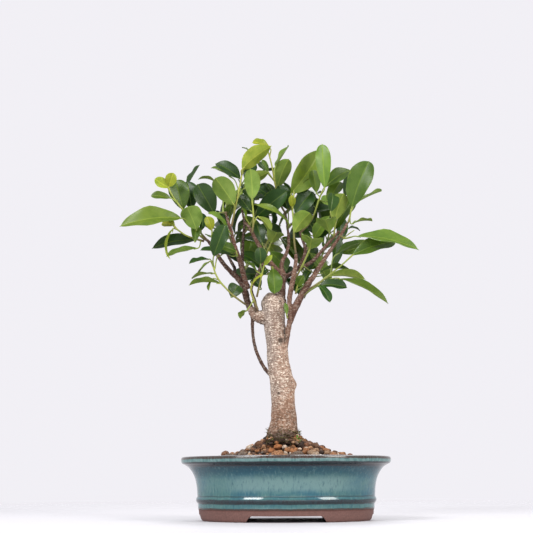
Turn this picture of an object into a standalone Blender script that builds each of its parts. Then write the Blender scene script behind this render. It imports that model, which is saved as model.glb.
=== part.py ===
"""A small fig bonsai in an oval glazed pot.

Run with: blender --background --python part.py

Everything is drawn in millimetres around the middle of the pot, with the pot's feet on Z = 0, X along the
pot's long side and Y to the back. Tree points are given as (x, z, depth) in the front elevation, as it is
seen from an eye in front of the pot. sight() carries such a point back or forward along its line of sight.
"""

import math
import random

import bmesh
import bpy
import numpy as np
from mathutils import Matrix, Quaternion, Vector

MM = 0.001
GAP = 0.3

# The eye of the front elevation.
EYE_DISTANCE = 1150.0
EYE_HEIGHT = 45.0

# Pot: half widths along X at the heights of the turned profile. The depth is a share of the width.
POT_HALF_WIDTH = 110.0
POT_HEIGHT = 66.6
FOOT_BOTTOM = 1.3
POT_DEPTH_RATIO = 0.78
POT_WALL = 6.0
POT_FLOOR_UNDERSIDE = 8.0
POT_FLOOR_TOP = 14.0
FOOT_INNER_HALF_WIDTH = 80.0
FOOT_GAP_TOP = 7.6
CUT_DEPTH = 5.0
FOOT_GAP_FRONT = (88.0, 72.0)
FOOT_GAP_SIDE = (40.0, 30.0)
DRAIN_HOLE_RADIUS = 8.0
DRAIN_HOLE_OFFSET = 38.0
POT_TURN_STEPS = 36
LIP_UNDERSIDE = 58.2
BODY_PROFILE = ((101.0, 54.6), (97.1, 48.7), (94.8, 43.0), (93.4, 36.0), (92.8, 29.0), (92.7, 25.6))
BEAD_PROFILE = ((93.7, 24.0), (93.8, 21.4), (92.9, 19.6), (91.9, 18.0), (91.7, 12.9))
FOOT_PROFILE = ((90.8, 10.9), (90.3, 4.6), (88.4, FOOT_BOTTOM))
FLOOR_HALF_WIDTH = 78.0
HOLLOW_PROFILE = ((86.5, 20.0), (92.9 - POT_WALL, 36.0), (97.1 - POT_WALL, 50.0))

SCREEN_SIZE = 24.0
SCREEN_THICKNESS = 1.0
SCREEN_CELLS = 3
SCREEN_CELL = 5.0
SCREEN_PITCH = 7.0

# Soil: it fills the pot and rises in a low mound to the foot of the trunk.
SOIL_BOTTOM = POT_FLOOR_TOP + SCREEN_THICKNESS + 2.0 * GAP
SOIL_EDGE_HEIGHT = 60.0
SOIL_CROWN_HEIGHT = 80.0
SOIL_MOUND_HALF_WIDTH = 90.0
SOIL_TO_WALL = 0.5
SOIL_TO_RIM = 13.2
SOIL_MOUND_RINGS = 7
STONE_RINGS = 2
STONE_FLATNESS = 0.8

# Trunk: (height, middle x, radius). It starts inside the soil.
TRUNK_DEPTH = 0.0
TRUNK = (
    (62.0, -2.6, 15.0),
    (76.0, -2.6, 18.5),
    (84.0, -2.6, 18.2),
    (90.0, -2.6, 16.6),
    (101.0, -1.6, 14.2),
    (115.0, -2.0, 13.0),
    (131.0, -2.6, 12.6),
    (143.0, -3.0, 13.2),
    (154.0, -4.9, 12.3),
    (168.0, -7.5, 11.6),
    (187.0, -8.9, 10.9),
    (205.0, -10.8, 11.4),
    (222.0, -12.0, 12.0),
    (232.0, -12.6, 11.4),
    (238.0, -12.4, 8.6),
    (241.0, -12.0, 4.5),
)

# Limbs: (x, z, depth, radius) along each. They are grown into the trunk, so wood is one piece.
LIMBS = {
    "left_joint": ((-18, 214, 0, 8.0), (-27, 215, -2, 7.2), (-33, 218, -2, 5.0), (-37, 224, -1, 3.6)),
    "left_main": (
        (-33, 216, -1, 4.6), (-38, 226, 0, 4.0), (-42, 238, 1, 3.9), (-45.5, 250, 2, 3.8),
        (-51, 258, 3, 3.6), (-57.5, 264, 4, 3.0), (-64, 271, 5, 2.8), (-70, 279, 6, 2.6),
        (-77, 290, 8, 2.3), (-83, 299, 9, 2.0), (-88, 302, 10, 1.7),
    ),
    "left_inner": (
        (-39, 246, 0, 3.0), (-43, 256, -4, 3.0), (-46, 267, -6, 3.0), (-49, 278, -8, 2.9),
        (-53, 290, -9, 2.6), (-56, 301, -10, 2.4), (-58.5, 312, -11, 2.2), (-61, 320, -11, 1.8),
        (-64, 330, -11, 1.4),
    ),
    "left_upright": (
        (-44, 262, -3, 2.5), (-46, 275, 4, 2.4), (-45.5, 290, 9, 2.2), (-44.5, 305, 13, 2.0),
        (-43.5, 320, 16, 1.7), (-46, 333, 19, 1.4),
    ),
    "left_second": ((-55, 262, 4, 2.4), (-54, 268, 12, 2.2), (-58, 276, 19, 2.0), (-62, 284, 25, 1.7)),
    "left_side_shoot": (
        (-12, 150, -3, 2.6), (-20, 157, -6, 2.3), (-27.6, 170, -6, 2.1), (-32.7, 185, -5, 2.0),
        (-34.8, 202, -4, 2.0), (-34.6, 217, -2, 2.2),
    ),
    "joint_twig": (
        (-30, 221, -6, 2.4), (-33, 234, -6, 2.2), (-36, 246, -6, 2.0), (-31, 258, -4, 1.9),
        (-26, 269, -2, 1.9), (-20, 281, 0, 1.9),
    ),
    "top_main": (
        (-4, 226, 0, 5.0), (-2.6, 238, 0, 4.2), (-2, 250, 1, 3.9), (-1, 260, 2, 3.7),
        (-3, 268, 4, 3.0), (-2, 276, 8, 2.6), (2, 284, 12, 2.3), (5, 296, 17, 2.0), (4, 312, 22, 1.7),
        (2, 328, 26, 1.4),
    ),
    "top_left": (
        (-1, 259, 2, 3.2), (-9, 268, 0, 2.7), (-19, 280, -2, 2.6), (-26, 291, -4, 2.5),
        (-32, 302, -6, 2.3), (-37, 312, -7, 2.0), (-43, 320, -8, 1.7),
    ),
    "top_right": (
        (-1, 258, 2, 3.0), (7, 262, 2, 2.7), (15, 268, 3, 2.6), (20, 277, 6, 2.4), (23, 289, 10, 2.1),
        (20, 300, 14, 1.9), (17, 309, 18, 1.6),
    ),
    "right_front": (
        (-2, 172, -4, 3.0), (1.5, 186, -6, 2.9), (3.5, 200, -8, 3.3), (6, 214, -9, 3.3), (5, 228, -8, 3.0),
        (6, 240, -7, 3.2), (8.5, 252, -6, 3.1), (11, 264, -5, 2.9), (12.5, 276, -4, 2.4),
        (12.5, 284, -4, 2.0),
    ),
    "right_outer": (
        (5.5, 208, -8, 3.4), (9.5, 220, -8, 4.2), (14, 230, -9, 4.6), (20, 241, -11, 4.0),
        (25, 250, -12, 3.6),
        (31, 258, -13, 3.2), (38, 269, -13, 2.8), (45, 280, -12, 2.5), (52, 290, -11, 2.3),
        (58, 299, -10, 2.1), (64, 308, -9, 1.9), (69, 318, -8, 1.6),
    ),
    "right_inner": (
        (14, 267, 3, 2.5), (24, 271.5, -1, 2.4), (32, 277, -4, 2.3), (40, 286, -5, 2.1), (47, 294, -5, 2.0),
        (54, 302, -4, 1.8), (60, 309, -3, 1.5),
    ),
    "back_left": ((-40, 238, 3, 3.0), (-44, 250, 16, 2.7), (-46, 264, 30, 2.3), (-50, 280, 42, 1.9)),
    "back_right": ((10, 222, -6, 3.0), (18, 236, 8, 2.7), (27, 250, 22, 2.4), (34, 266, 36, 2.0)),
    "back_top": ((-5, 232, 2, 3.6), (-9, 248, 14, 3.0), (-12, 264, 26, 2.6), (-14, 284, 38, 2.1)),
}
TRUNK_RINGS = 5
LIMB_RINGS = 2
TWIG_RINGS = 1
TWIG_RADIUS = 3.0
LIMB_STEPS = 1

# Leaves.
LEAF_THICKNESS = 1.2
LEAF_FOLD = 0.22
LEAF_STATIONS = (0.2, 0.5, 0.8)
LEAF_NARROWEST = 0.5
POINTED_BOW = 4
PETIOLE_RADIUS = 0.9
STEM_RADIUS = 1.25
STEM_STEPS = 1
STEM_TAPER = 0.25
STALK_IN_STEM = 4.0
LAST_JOINT = 0.96
LEAF_ALONG = (0.06, 0.18, 0.3, 0.42, 0.54, 0.66, 0.78, 0.9, 1.0)
LEAF_ACROSS = (-1.0, -0.5, 0.0, 0.5, 1.0)
STALK_ALONG = (0.15, 0.3, 0.45, 0.6, 0.75, 0.9)
LEAF_CLEARANCE = 3.6
WOOD_CLEARANCE = 2.0
DEPTH_STEPS = (0, 5, -5, 10, -10, 15, -15, 20, -20, 25, -25, 30, -30, 36, -36, 42, -42)

# Shoots, front ones first. A shoot is its stem, (x, z, depth) points, and its leaves. A leaf is
# (place along the stem, base, tip, width, roll, bow, tone). At roll 0 its upper face meets the eye, at 90 it
# is edge-on with that face up, and at 180 its underside meets the eye.
SHOOTS = {
    "shoot_right_low_front": (
        ((21, 238, -13), (27, 243, -20), (35, 248, -26)),
        (
            (1.0, (36, 248, -27), (68, 246, -30), 15, 48, 3, "dark"),
            (0.9, (37, 249, -30), (49, 230, -38), 11, 35, 3, "dark"),
        ),
    ),
    "shoot_right_low": (
        ((25, 244, -14), (33, 249, -18), (42, 255, -20), (52, 263, -22), (62, 271, -23), (72, 280, -24)),
        (
            (1.0, (74, 282, -24), (122, 297, -20), 20, 35, 3, "mature"),
            (0.55, (57, 283, -12), (83, 296, -6), 13, 120, 2, "dark"),
            (0.3, (48, 259, -12), (88, 255, 8), 15, 128, 4, "light"),
            (0.3, (60, 256, -26), (112, 228, -40), 18, 62, 5, "mature"),
        ),
    ),
    "shoot_right_far": (
        ((61, 304, -10), (66, 301, -14), (72, 302, -17)),
        (
            (1.0, (80, 303, -18), (147, 287, -24), 22, 55, 5, "mature"),
            (0.4, (67, 303, -14), (77, 310, -17), 3, 80, 0, "young"),
        ),
    ),
    "shoot_right_tall": (
        ((70, 318, -8), (72, 324, -10), (73.5, 332, -12)),
        (
            (1.0, (74.5, 336, -13), (95, 389, -22), 27, 12, 3, "mature"),
            (0.9, (80, 341, -4), (108, 354, 12), 16, 92, 1, "light"),
            (0.5, (74, 317, -6), (97, 320, 2), 12, 96, 2, "light"),
            (0.35, (70, 312, 2), (83, 309, 6), 9, 80, 2, "dark"),
        ),
    ),
    "shoot_right_upper": (
        ((18, 308, 16), (27, 317, 8), (33, 328, -2), (38, 343, -10), (41, 351, -14)),
        (
            (1.0, (45, 358, -22), (43, 409, -26), 17, 4, 3, "light"),
            (1.0, (45.5, 359, -16), (75, 378, -12), 17, 30, 4, "mature"),
            (0.9, (36, 353, -12), (32, 379, -16), 13, 10, 2, "mature"),
            (0.7, (34, 336, 4), (24, 352, 12), 15, 20, 2, "dark"),
            (0.8, (48, 343, -6), (63, 365, 0), 16, 25, 2, "mature"),
        ),
    ),
    "shoot_right_middle": (
        ((54, 301, -5), (55, 309, -10), (56, 317, -16)),
        (
            (1.0, (56, 322, -18), (66, 352, -24), 20, 165, 3, "light"),
            (0.9, (51, 331, -8), (54, 352, -4), 14, 20, 2, "dark"),
            (0.9, (66, 348, 2), (71, 375, 6), 14, 30, 2, "dark"),
            (0.2, (49, 308, -16), (45, 322, -42), 22, 168, 3, "light"),
        ),
    ),
    "shoot_front_heart": (
        ((12.5, 258, -11), (17, 266, -18), (22, 276, -26), (26, 285, -32)),
        (
            (1.0, (28, 289, -34), (30, 301, -60), 25, 172, 2, "light"),
            (0.5, (38, 262, -20), (74, 263, -14), 12, 118, 7, "dark"),
        ),
    ),
    "shoot_centre_low_right": (
        ((12, 240, -9), (13.5, 246, -13)),
        (
            (1.0, (14, 248, -14), (21, 260, -24), 10, 15, 1, "mature"),
            (0.5, (21, 250, -12), (29, 266, -6), 11, 40, 2, "dark"),
        ),
    ),
    "shoot_centre_right": (
        ((12.5, 285, -4), (11, 300, -8), (10.5, 318, -10), (9.5, 334, -10), (11, 350, -10)),
        (
            (1.0, (8, 352, -12), (41, 402, -10), 30, -12, 4, "mature"),
            (0.75, (9, 337, -14), (8, 350, -22), 8, 10, 1, "young"),
            (1.0, (12, 352, -14), (37, 375, -18), 5, 60, 3, "young"),
            (0.9, (15, 350, -2), (27, 365, 4), 14, 10, 2, "dark"),
            (0.7, (12, 329, -4), (31, 354, 2), 20, 5, 2, "dark"),
            (0.35, (11, 308, -14), (29, 330, -22), 20, 160, 3, "light"),
        ),
    ),
    "shoot_centre_arching": (
        ((3.5, 312, 20), (6, 316, 10)),
        (
            (1.0, (6, 317, 2), (-33, 340, -16), 12, 62, 5, "light"),
            (0.4, (4, 334, 14), (-5, 362, 10), 17, 12, 2, "dark"),
        ),
    ),
    "shoot_top_centre": (
        ((2, 329, 26), (-3, 338, 20), (-6, 347, 14), (-10, 366, 8), (-13, 384, 2), (-16, 397, -2)),
        (
            (1.0, (-15, 404, -4), (-35, 411, -10), 13, 55, 2, "young"),
            (0.35, (-7, 359, -6), (6, 392, -12), 19, 168, 3, "light"),
            (0.6, (-9, 383, 12), (6, 407, 22), 15, 76, 0, "light"),
            (0.6, (-17, 377, 2), (-24, 391, -2), 6, 20, 1, "mature"),
            (0.6, (-20, 378, 12), (-28, 388, 16), 8, 30, 1, "dark"),
            (0.3, (-10, 346, 4), (-19, 364, 0), 8, 35, 2, "dark"),
            (0.2, (-14, 346, 12), (-31, 358, 16), 13, 40, 3, "dark"),
        ),
    ),
    "shoot_centre_left": (
        ((-35, 308, -9), (-33.5, 320, -14), (-34, 334, -18), (-35, 344, -22)),
        (
            (1.0, (-35, 346, -23), (-37, 381, -30), 18, 170, 3, "light"),
            (0.6, (-37, 333, -8), (-50, 350, -4), 14, 15, 2, "dark"),
            (0.9, (-27, 375, 6), (-1, 378, 14), 13, 90, 2, "dark"),
            (0.3, (-28, 326, -16), (-15, 309, -24), 11, 140, 3, "light"),
        ),
    ),
    "shoot_left_top": (
        (
            (-57.5, 316, -11), (-55.5, 326, -15), (-53.5, 337, -18), (-51, 349, -19), (-48, 364, -18),
            (-46, 376, -16),
        ),
        (
            (1.0, (-46, 380, -16), (-13, 407, -10), 21, 158, 4, "young"),
            (0.35, (-55, 340, -24), (-76, 371, -32), 23, 172, 3, "light"),
            (0.55, (-44, 358, -24), (-16, 377, -30), 15, 150, 4, "light"),
            (0.75, (-43, 369, -10), (-34, 388, -4), 15, 8, 2, "dark"),
            (0.75, (-48, 369, -14), (-76, 387, -8), 18, 38, 4, "dark"),
            (0.7, (-58, 371, -4), (-81, 382, 4), 10, 55, 3, "mature"),
            (0.95, (-38, 401, -2), (-46, 405, 6), 5, 80, 1, "mature"),
        ),
    ),
    "shoot_left_middle": (
        ((-63, 331, -11), (-69, 331, -4), (-77, 330, 0)),
        (
            (1.0, (-77, 330, 0), (-96, 364, -8), 24, 14, 3, "dark"),
            (0.3, (-72, 362, 4), (-95, 369, 10), 12, 98, 4, "light"),
        ),
    ),
    "shoot_left_middle_front": (
        ((-58, 306, -13), (-61, 311, -20)),
        ((1.0, (-62, 312, -22), (-84, 331, -34), 13, 70, 3, "light"),),
    ),
    "shoot_left_far": (
        ((-84, 300, 9), (-92, 309, 4), (-104, 324, -4), (-113, 337, -8), (-120, 346, -10), (-126, 356, -12)),
        (
            (1.0, (-127.5, 360, -13), (-143, 370, -18), 12, 20, 1, "young"),
            (1.0, (-127, 361, -13), (-122, 377, -20), 13, 10, 1, "young"),
            (0.7, (-125, 348, -14), (-147, 350.5, -18), 11, 40, 2, "mature"),
            (0.6, (-111, 335, -2), (-120, 369, -4), 23, 8, 3, "mature"),
            (0.45, (-102, 335, 6), (-107, 367, 8), 20, 6, 2, "dark"),
            (0.75, (-109, 358, 14), (-93, 386, 20), 14, 72, 0, "dark"),
        ),
    ),
    "shoot_left_wide": (
        ((-87, 301, 6), (-93, 306, -2), (-98, 311, -8)),
        (
            (1.0, (-96, 312, -14), (-107, 338, -26), 24, 168, 3, "light"),
            (1.0, (-113, 325, -14), (-181, 316, -26), 26, 42, 8, "light"),
            (0.2, (-91, 311, 10), (-90, 331, 14), 10, 20, 1, "dark"),
            (0.5, (-98, 299, -6), (-97, 318, -2), 11, 15, 1, "mature"),
        ),
    ),
    "shoot_left_bright": (
        ((-78, 295, 5), (-79, 303, -2), (-79, 309, -6)),
        ((1.0, (-79.5, 311, -7), (-85, 327, -12), 11, 10, 2, "young"),),
    ),
    "shoot_left_hanging": (
        ((-88, 299, 5), (-98, 302, -2), (-108, 306, -8), (-118, 313, -12)),
        (
            (1.0, (-120, 316, -13), (-131, 327, -15), 7, 40, 1, "young"),
            (1.0, (-121, 317, -11), (-134, 320, -4), 9, 20, 1, "young"),
            (1.0, (-122, 313, -14), (-124.5, 279, -18), 13, 88, 5, "young"),
            (0.3, (-97, 300, 2), (-145, 291, -4), 18, 40, 4, "dark"),
            (0.1, (-95, 291, -6), (-129, 282, -16), 13, 118, 2, "light"),
        ),
    ),
    "shoot_left_trailing": (
        (
            (-41, 228, -4), (-47, 232, -10), (-56, 239, -16), (-63, 246, -20), (-70, 254, -20),
            (-75, 263, -18), (-78, 273, -15),
        ),
        (
            (0.6, (-70, 252, -22), (-104, 250, -30), 15, 112, 3, "light"),
            (0.7, (-78, 257, -20), (-82, 244, -24), 6, 60, 1, "light"),
            (0.8, (-77, 263, -14), (-101, 257, -4), 12, 94, 2, "light"),
            (1.0, (-82, 279, -16), (-104, 274, -20), 12, 70, 1, "dark"),
            (0.95, (-82, 276, -8), (-94, 262, 2), 9, 84, 1, "light"),
            (1.0, (-77, 282, -16), (-64, 318, -26), 18, 14, 3, "dark"),
            (0.3, (-58, 237, -12), (-50, 250, -8), 17, 8, 1, "dark"),
            (0.9, (-70, 283, -8), (-53, 284, 4), 13, 110, 2, "mature"),
        ),
    ),
    "shoot_left_inner": (
        ((-51, 281, -10), (-52, 285, -14)),
        (
            (1.0, (-53, 287, -15), (-72, 293, -22), 12, 30, 3, "mature"),
            (0.5, (-56, 282, -17), (-92, 289, -24), 15, 62, 2, "dark"),
        ),
    ),
    "shoot_joint_bright": (
        ((-29, 223, -9), (-33, 233, -14), (-36.5, 243, -18), (-36, 248, -20)),
        (
            (1.0, (-35.5, 250, -20), (-23, 261, -26), 7, 70, 1, "young"),
            (0.35, (-41, 222, -14), (-48, 213, -10), 9, 130, 2, "mature"),
        ),
    ),
    "shoot_joint_dark": (
        ((-30, 237, -9), (-28, 246, -14), (-25.5, 257, -18), (-23, 268, -20)),
        (
            (1.0, (-22, 271, -21), (-13, 283, -24), 6, 20, 1, "young"),
            (0.3, (-26, 247, -12), (-34, 257, -6), 13, 15, 1, "dark"),
            (0.8, (-30, 265, -20), (-43, 276, -22), 10, 75, 1, "mature"),
            (0.9, (-26, 273, -23), (-27, 292, -28), 13, 10, 2, "dark"),
        ),
    ),
    "shoot_centre_curled": (
        ((-20, 283, -6), (-17, 290, -14)),
        (
            (1.0, (-14.5, 296, -20), (-8, 308, -44), 19, 166, 2, "light"),
            (0.3, (-24, 296, -4), (-30, 318, 2), 14, 12, 2, "dark"),
        ),
    ),
    "shoot_behind_trunk": (
        ((-9, 250, 15), (-13, 259, 10), (-14, 267, 9)),
        (
            (1.0, (-12.5, 268, 11), (-11, 240, 8), 17, 14, 3, "mature"),
            (0.7, (-17, 266, 6), (-28, 256, 2), 12, 50, 2, "dark"),
        ),
    ),
    "shoot_small_fork": (
        ((3, 213, -12), (2.4, 216, -13)),
        ((1.0, (2, 217, -13), (0.5, 230, -12), 5, 10, 0, "mature"),),
    ),
}

# Shoots inside and at the back of the crown: where each leaves the wood, which way it grows, its length and
# its number of leaves. Their leaves are set out by rule, inside the oval that the crown fills.
INNER_SHOOTS = {
    "shoot_inner_1": ((-50, 280, 42), (-0.35, 0.25, 0.85), 52, 7),
    "shoot_inner_2": ((-46, 263, 30), (0.2, 0.8, 0.45), 44, 6),
    "shoot_inner_3": ((34, 266, 36), (0.35, 0.3, 0.85), 50, 7),
    "shoot_inner_4": ((27, 250, 22), (-0.15, 0.8, 0.5), 44, 6),
    "shoot_inner_5": ((-14, 284, 38), (0.1, 0.4, 0.9), 54, 7),
    "shoot_inner_6": ((-10, 256, 21), (-0.3, 0.9, 0.4), 40, 6),
    "shoot_inner_7": ((-46, 333, 19), (0.25, 0.35, 0.9), 28, 6),
    "shoot_inner_8": ((4, 312, 22), (0.45, 0.5, 0.7), 42, 6),
    "shoot_inner_9": ((-62, 284, 25), (-0.2, 0.4, 0.85), 34, 6),
    "shoot_inner_10": ((-44.5, 306, 13), (0.45, 0.3, 0.8), 34, 6),
    "shoot_inner_11": ((22, 286, 9), (0.5, 0.45, 0.75), 34, 6),
    "shoot_inner_12": ((-24, 288, -3), (0.25, 0.75, 0.6), 38, 6),
}
INNER_SEED = 11
INNER_TRIES = 240
INNER_LEAF_LENGTH = (32.0, 48.0)
INNER_LEAF_SHAPE = (0.42, 0.52)
INNER_STALK = (6.0, 11.0)
INNER_LEAN = (0.3, 1.0)
INNER_END_LEAN = (1.2, 2.4)
INNER_LIFT = (-0.2, 0.35)
INNER_TURN = 2.6
INNER_ROLL = (10.0, 130.0)
INNER_BOW = (2.0, 5.0)
INNER_TONES = ("mature", "dark", "dark", "light")
INNER_FIRST_LEAF = 0.3
STEM_RISE = 0.12

# Places (x, z) that further leaves of the nearest inner shoots cover, so that the crown closes.
FILLED = ((52, 285), (58, 309), (68, 332), (12, 288), (-42, 264), (7, 246), (81, 289), (40, 269))
FILL_SEED = 4
FILL_SHOOTS = 5
FILL_DEPTH = 26.0
FILL_DRIFT = 3.0
FILL_TURN = 1.1
FILL_PITCH = 12.0
FILL_STALK = 34.0
FILL_ROLL = (5.0, 60.0)
FILL_STRAIGHT = 0.25
DIVERGENCE = math.radians(137.5)
CROWN_MIDDLE = (-8.0, 316.0)
CROWN_HALF = (74.0, 60.0)

# Larger stones lying on the soil: (x, y, half length, half height, turn).
PEBBLES = (
    (-42, -58, 6.6, 4.6, 10), (-26, -64, 5.4, 4.0, 80), (-9, -58, 6.2, 4.4, 150), (12, -62, 6.4, 4.6, 35),
    (30, -58, 5.6, 4.2, 110), (48, -52, 6.2, 4.4, 65), (66, -40, 5.2, 3.8, 20), (-58, -40, 5.6, 4.0, 130),
    (-40, 38, 6.0, 4.2, 50), (34, 40, 6.4, 4.4, 95), (60, 22, 5.4, 4.0, 160), (-64, 8, 5.8, 4.2, 75),
)

MOSS_MIDDLE = (-4.0, -24.0)
MOSS_HALF_SIZE = (17.0, 8.0, 4.5)

GLAZE = (0.055, 0.17, 0.175)
CLAY = (0.25, 0.12, 0.10)
BARK = (0.25, 0.17, 0.115)
SOIL = (0.09, 0.045, 0.025)
STONE = (0.30, 0.13, 0.06)
MOSS = (0.035, 0.05, 0.012)
SCREEN = (0.02, 0.02, 0.02)
TONES = {
    "young": (0.30, 0.40, 0.03),
    "light": (0.20, 0.32, 0.07),
    "mature": (0.08, 0.20, 0.03),
    "dark": (0.02, 0.075, 0.018),
}


def clear_scene():
    for old in list(bpy.data.objects):
        bpy.data.objects.remove(old, do_unlink=True)


def collection(name):
    made = bpy.data.collections.new(name)
    bpy.context.scene.collection.children.link(made)
    return made


def material(name, colour, roughness, metallic=0.0):
    made = bpy.data.materials.new(name)
    made.use_nodes = True
    shader = made.node_tree.nodes["Principled BSDF"]
    shader.inputs["Base Color"].default_value = (*colour, 1.0)
    shader.inputs["Roughness"].default_value = roughness
    shader.inputs["Metallic"].default_value = metallic
    return made


def add_object(name, mesh, group, look, smooth_angle=None):
    made = bpy.data.objects.new(name, mesh)
    group.objects.link(made)
    if look is not None:
        mesh.materials.append(look)
    if smooth_angle is not None:
        mesh.shade_smooth()
        mesh.set_sharp_from_angle(angle=math.radians(smooth_angle))
    return made


def add_cutter(name, mesh, group):
    made = add_object(name, mesh, group, None)
    made.hide_render = True
    made.display_type = "WIRE"
    return made


def mesh_from(bm, name):
    bmesh.ops.recalc_face_normals(bm, faces=bm.faces)
    mesh = bpy.data.meshes.new(name)
    bm.to_mesh(mesh)
    bm.free()
    return mesh


def add_boolean(owner, cutter, operation, self_overlaps=False):
    step = owner.modifiers.new(cutter.name, "BOOLEAN")
    step.operation = operation
    step.solver = "EXACT"
    step.object = cutter
    step.use_self = self_overlaps


# Tree geometry -------------------------------------------------------------------------------------------


def sight(x, z, depth):
    spread = 1.0 + depth / EYE_DISTANCE
    return Vector((x * spread, depth, EYE_HEIGHT + (z - EYE_HEIGHT) * spread))


def smooth_path(points, steps):
    """Catmull-Rom points through rows of numbers, with steps spans between each pair."""
    rows = np.array(points, dtype=float)
    padded = np.vstack((2 * rows[0] - rows[1], rows, 2 * rows[-1] - rows[-2]))
    path = [rows[0]]
    for i in range(len(rows) - 1):
        a, b, c, d = padded[i:i + 4]
        for step in range(1, steps + 1):
            t = step / steps
            path.append(0.5 * (2 * b + (c - a) * t + (2 * a - 5 * b + 4 * c - d) * t ** 2
                               + (3 * b - a - 3 * c + d) * t ** 3))
    return path


def along(path, share):
    """The point at a share of the number of spans of a path, as a Vector."""
    place = share * (len(path) - 1)
    i = min(int(place), len(path) - 2)
    start, end = Vector(path[i][:3]), Vector(path[i + 1][:3])
    return start.lerp(end, place - i)


def tube_into(bm, points, radii, rings):
    """Add a closed tube through the points (mm) to a bmesh, made as a bevelled curve with filled caps."""
    data = bpy.data.curves.new("tube", "CURVE")
    data.dimensions = "3D"
    data.bevel_depth = MM
    data.bevel_resolution = rings
    data.use_fill_caps = True
    spline = data.splines.new("POLY")
    spline.points.add(len(points) - 1)
    for spot, place, radius in zip(spline.points, points, radii):
        spot.co = (*(Vector(place) * MM), 1.0)
        spot.radius = radius
    holder = bpy.data.objects.new("tube", data)
    mesh = bpy.data.meshes.new_from_object(holder)
    part = bmesh.new()
    part.from_mesh(mesh)
    bmesh.ops.remove_doubles(part, verts=part.verts, dist=1e-6)
    bmesh.ops.triangulate(part, faces=part.faces)
    bmesh.ops.recalc_face_normals(part, faces=part.faces)
    part.to_mesh(mesh)
    part.free()
    bm.from_mesh(mesh)
    bpy.data.objects.remove(holder)
    bpy.data.curves.remove(data)
    bpy.data.meshes.remove(mesh)


def leaf_frame(base, tip, roll):
    """Lengthwise, sideways and upper-face directions of a leaf."""
    length = (tip - base).normalized()
    to_eye = (Vector((0, -EYE_DISTANCE, EYE_HEIGHT)) - base).normalized()
    facing = (to_eye - length * to_eye.dot(length)).normalized()
    upward = facing.cross(length)
    if upward.z < 0 or (abs(upward.z) < 0.2 and upward.x < 0):
        upward.negate()
    angle = math.radians(roll)
    upper = facing * math.cos(angle) + upward * math.sin(angle)
    return length, length.cross(upper), upper


def leaf_outline(t, bow):
    """Half width at a share t of the length, as a share of half the leaf's width; pointed when bowed."""
    if not 0 < t < 1:
        return 0.0
    if bow >= POINTED_BOW:
        return math.sin(math.pi * t) ** 0.72 * (0.94 + 0.12 * t)
    return t ** 0.72 * (1 - t) ** 0.46 / 0.459


def leaf_point(leaf, t, across, shift=0.0):
    """A point on a leaf's blade: t from base to tip, across from -1 to 1."""
    _, base, tip, width, roll, bow, _ = leaf
    start = sight(base[0], base[1], base[2] + shift)
    end = sight(tip[0], tip[1], tip[2] + shift)
    _, side, upper = leaf_frame(start, end, roll)
    half = max(width / 2 * leaf_outline(t, bow), LEAF_NARROWEST)
    rise = bow * 4 * t * (1 - t) + abs(across) * half * LEAF_FOLD * 2
    return start.lerp(end, t) + side * (across * half) + upper * rise


def leaf_samples(leaf, shift):
    """Points spread over a leaf's blade, row by row from its base."""
    return np.array([leaf_point(leaf, t, across, shift) for t in LEAF_ALONG for across in LEAF_ACROSS])


def petiole_samples(leaf, stem, shift):
    """Points along the stalk, leaving out the stretch that lies in the stem."""
    start, base = along(stem, leaf[0]), leaf_point(leaf, 0.0, 0.0, shift)
    rows = [start.lerp(base, t) for t in STALK_ALONG]
    return np.array([row for row in rows if (row - start).length > STALK_IN_STEM] or [base])


class Crown:
    """What the leaves already placed take up, so that the next ones keep clear of it."""

    def __init__(self, wood):
        self.wood = wood
        self.points = {}

    def clear(self, samples, own):
        for shoot, rows in self.points.items():
            if shoot == own:
                continue
            for block in rows:
                low, high = block.min(axis=0) - LEAF_CLEARANCE, block.max(axis=0) + LEAF_CLEARANCE
                near = samples[((samples > low) & (samples < high)).all(axis=1)]
                if len(near):
                    gaps = np.linalg.norm(near[:, None, :] - block[None, :, :], axis=2)
                    if gaps.min() < LEAF_CLEARANCE:
                        return False
        return True

    def clear_of_wood(self, samples):
        gaps = np.linalg.norm(samples[:, None, :] - self.wood[None, :, :3], axis=2)
        return (gaps - self.wood[None, :, 3]).min() > WOOD_CLEARANCE

    def add(self, shoot, samples):
        self.points.setdefault(shoot, []).append(samples)


def limb_rows():
    """Every limb and the trunk as smooth rows of x, y, z, radius."""
    made = {"trunk": smooth_path([(x, TRUNK_DEPTH, z, radius) for z, x, radius in TRUNK], 1)}
    for name, points in LIMBS.items():
        rows = [(*sight(x, z, depth), radius) for x, z, depth, radius in points]
        made[name] = smooth_path(rows, LIMB_STEPS)
    return made


def wood_samples(limbs):
    rows = []
    for path in limbs.values():
        rows += smooth_path(path, 2)
    return np.array(rows)


def settle(crown, shoot, leaf, stem):
    """How far back a leaf moves along its line of sight to clear what is there."""
    for shift in DEPTH_STEPS:
        blade = leaf_samples(leaf, shift)
        stalk = petiole_samples(leaf, stem, shift)
        free = crown.clear_of_wood(blade[2 * len(LEAF_ACROSS):])
        if free and crown.clear(blade, shoot) and crown.clear(stalk, shoot):
            crown.add(shoot, blade)
            crown.add(shoot, stalk)
            return shift
    crown.add(shoot, leaf_samples(leaf, 0))
    return 0


def front_shoots(crown):
    made = {}
    for name, (stem, leaves) in SHOOTS.items():
        path = smooth_path([sight(*point) for point in stem], STEM_STEPS)
        crown.add(name, np.array(smooth_path(path, 2)))
        made[name] = (path, leaves)
    for name, (path, leaves) in made.items():
        made[name] = (path, [(leaf, settle(crown, name, leaf, path)) for leaf in leaves])
    return made


def elevation(point):
    """The (x, z, depth) of the front elevation for a point in space."""
    spread = 1.0 + point.y / EYE_DISTANCE
    return (point.x / spread, EYE_HEIGHT + (point.z - EYE_HEIGHT) / spread, point.y)


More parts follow.
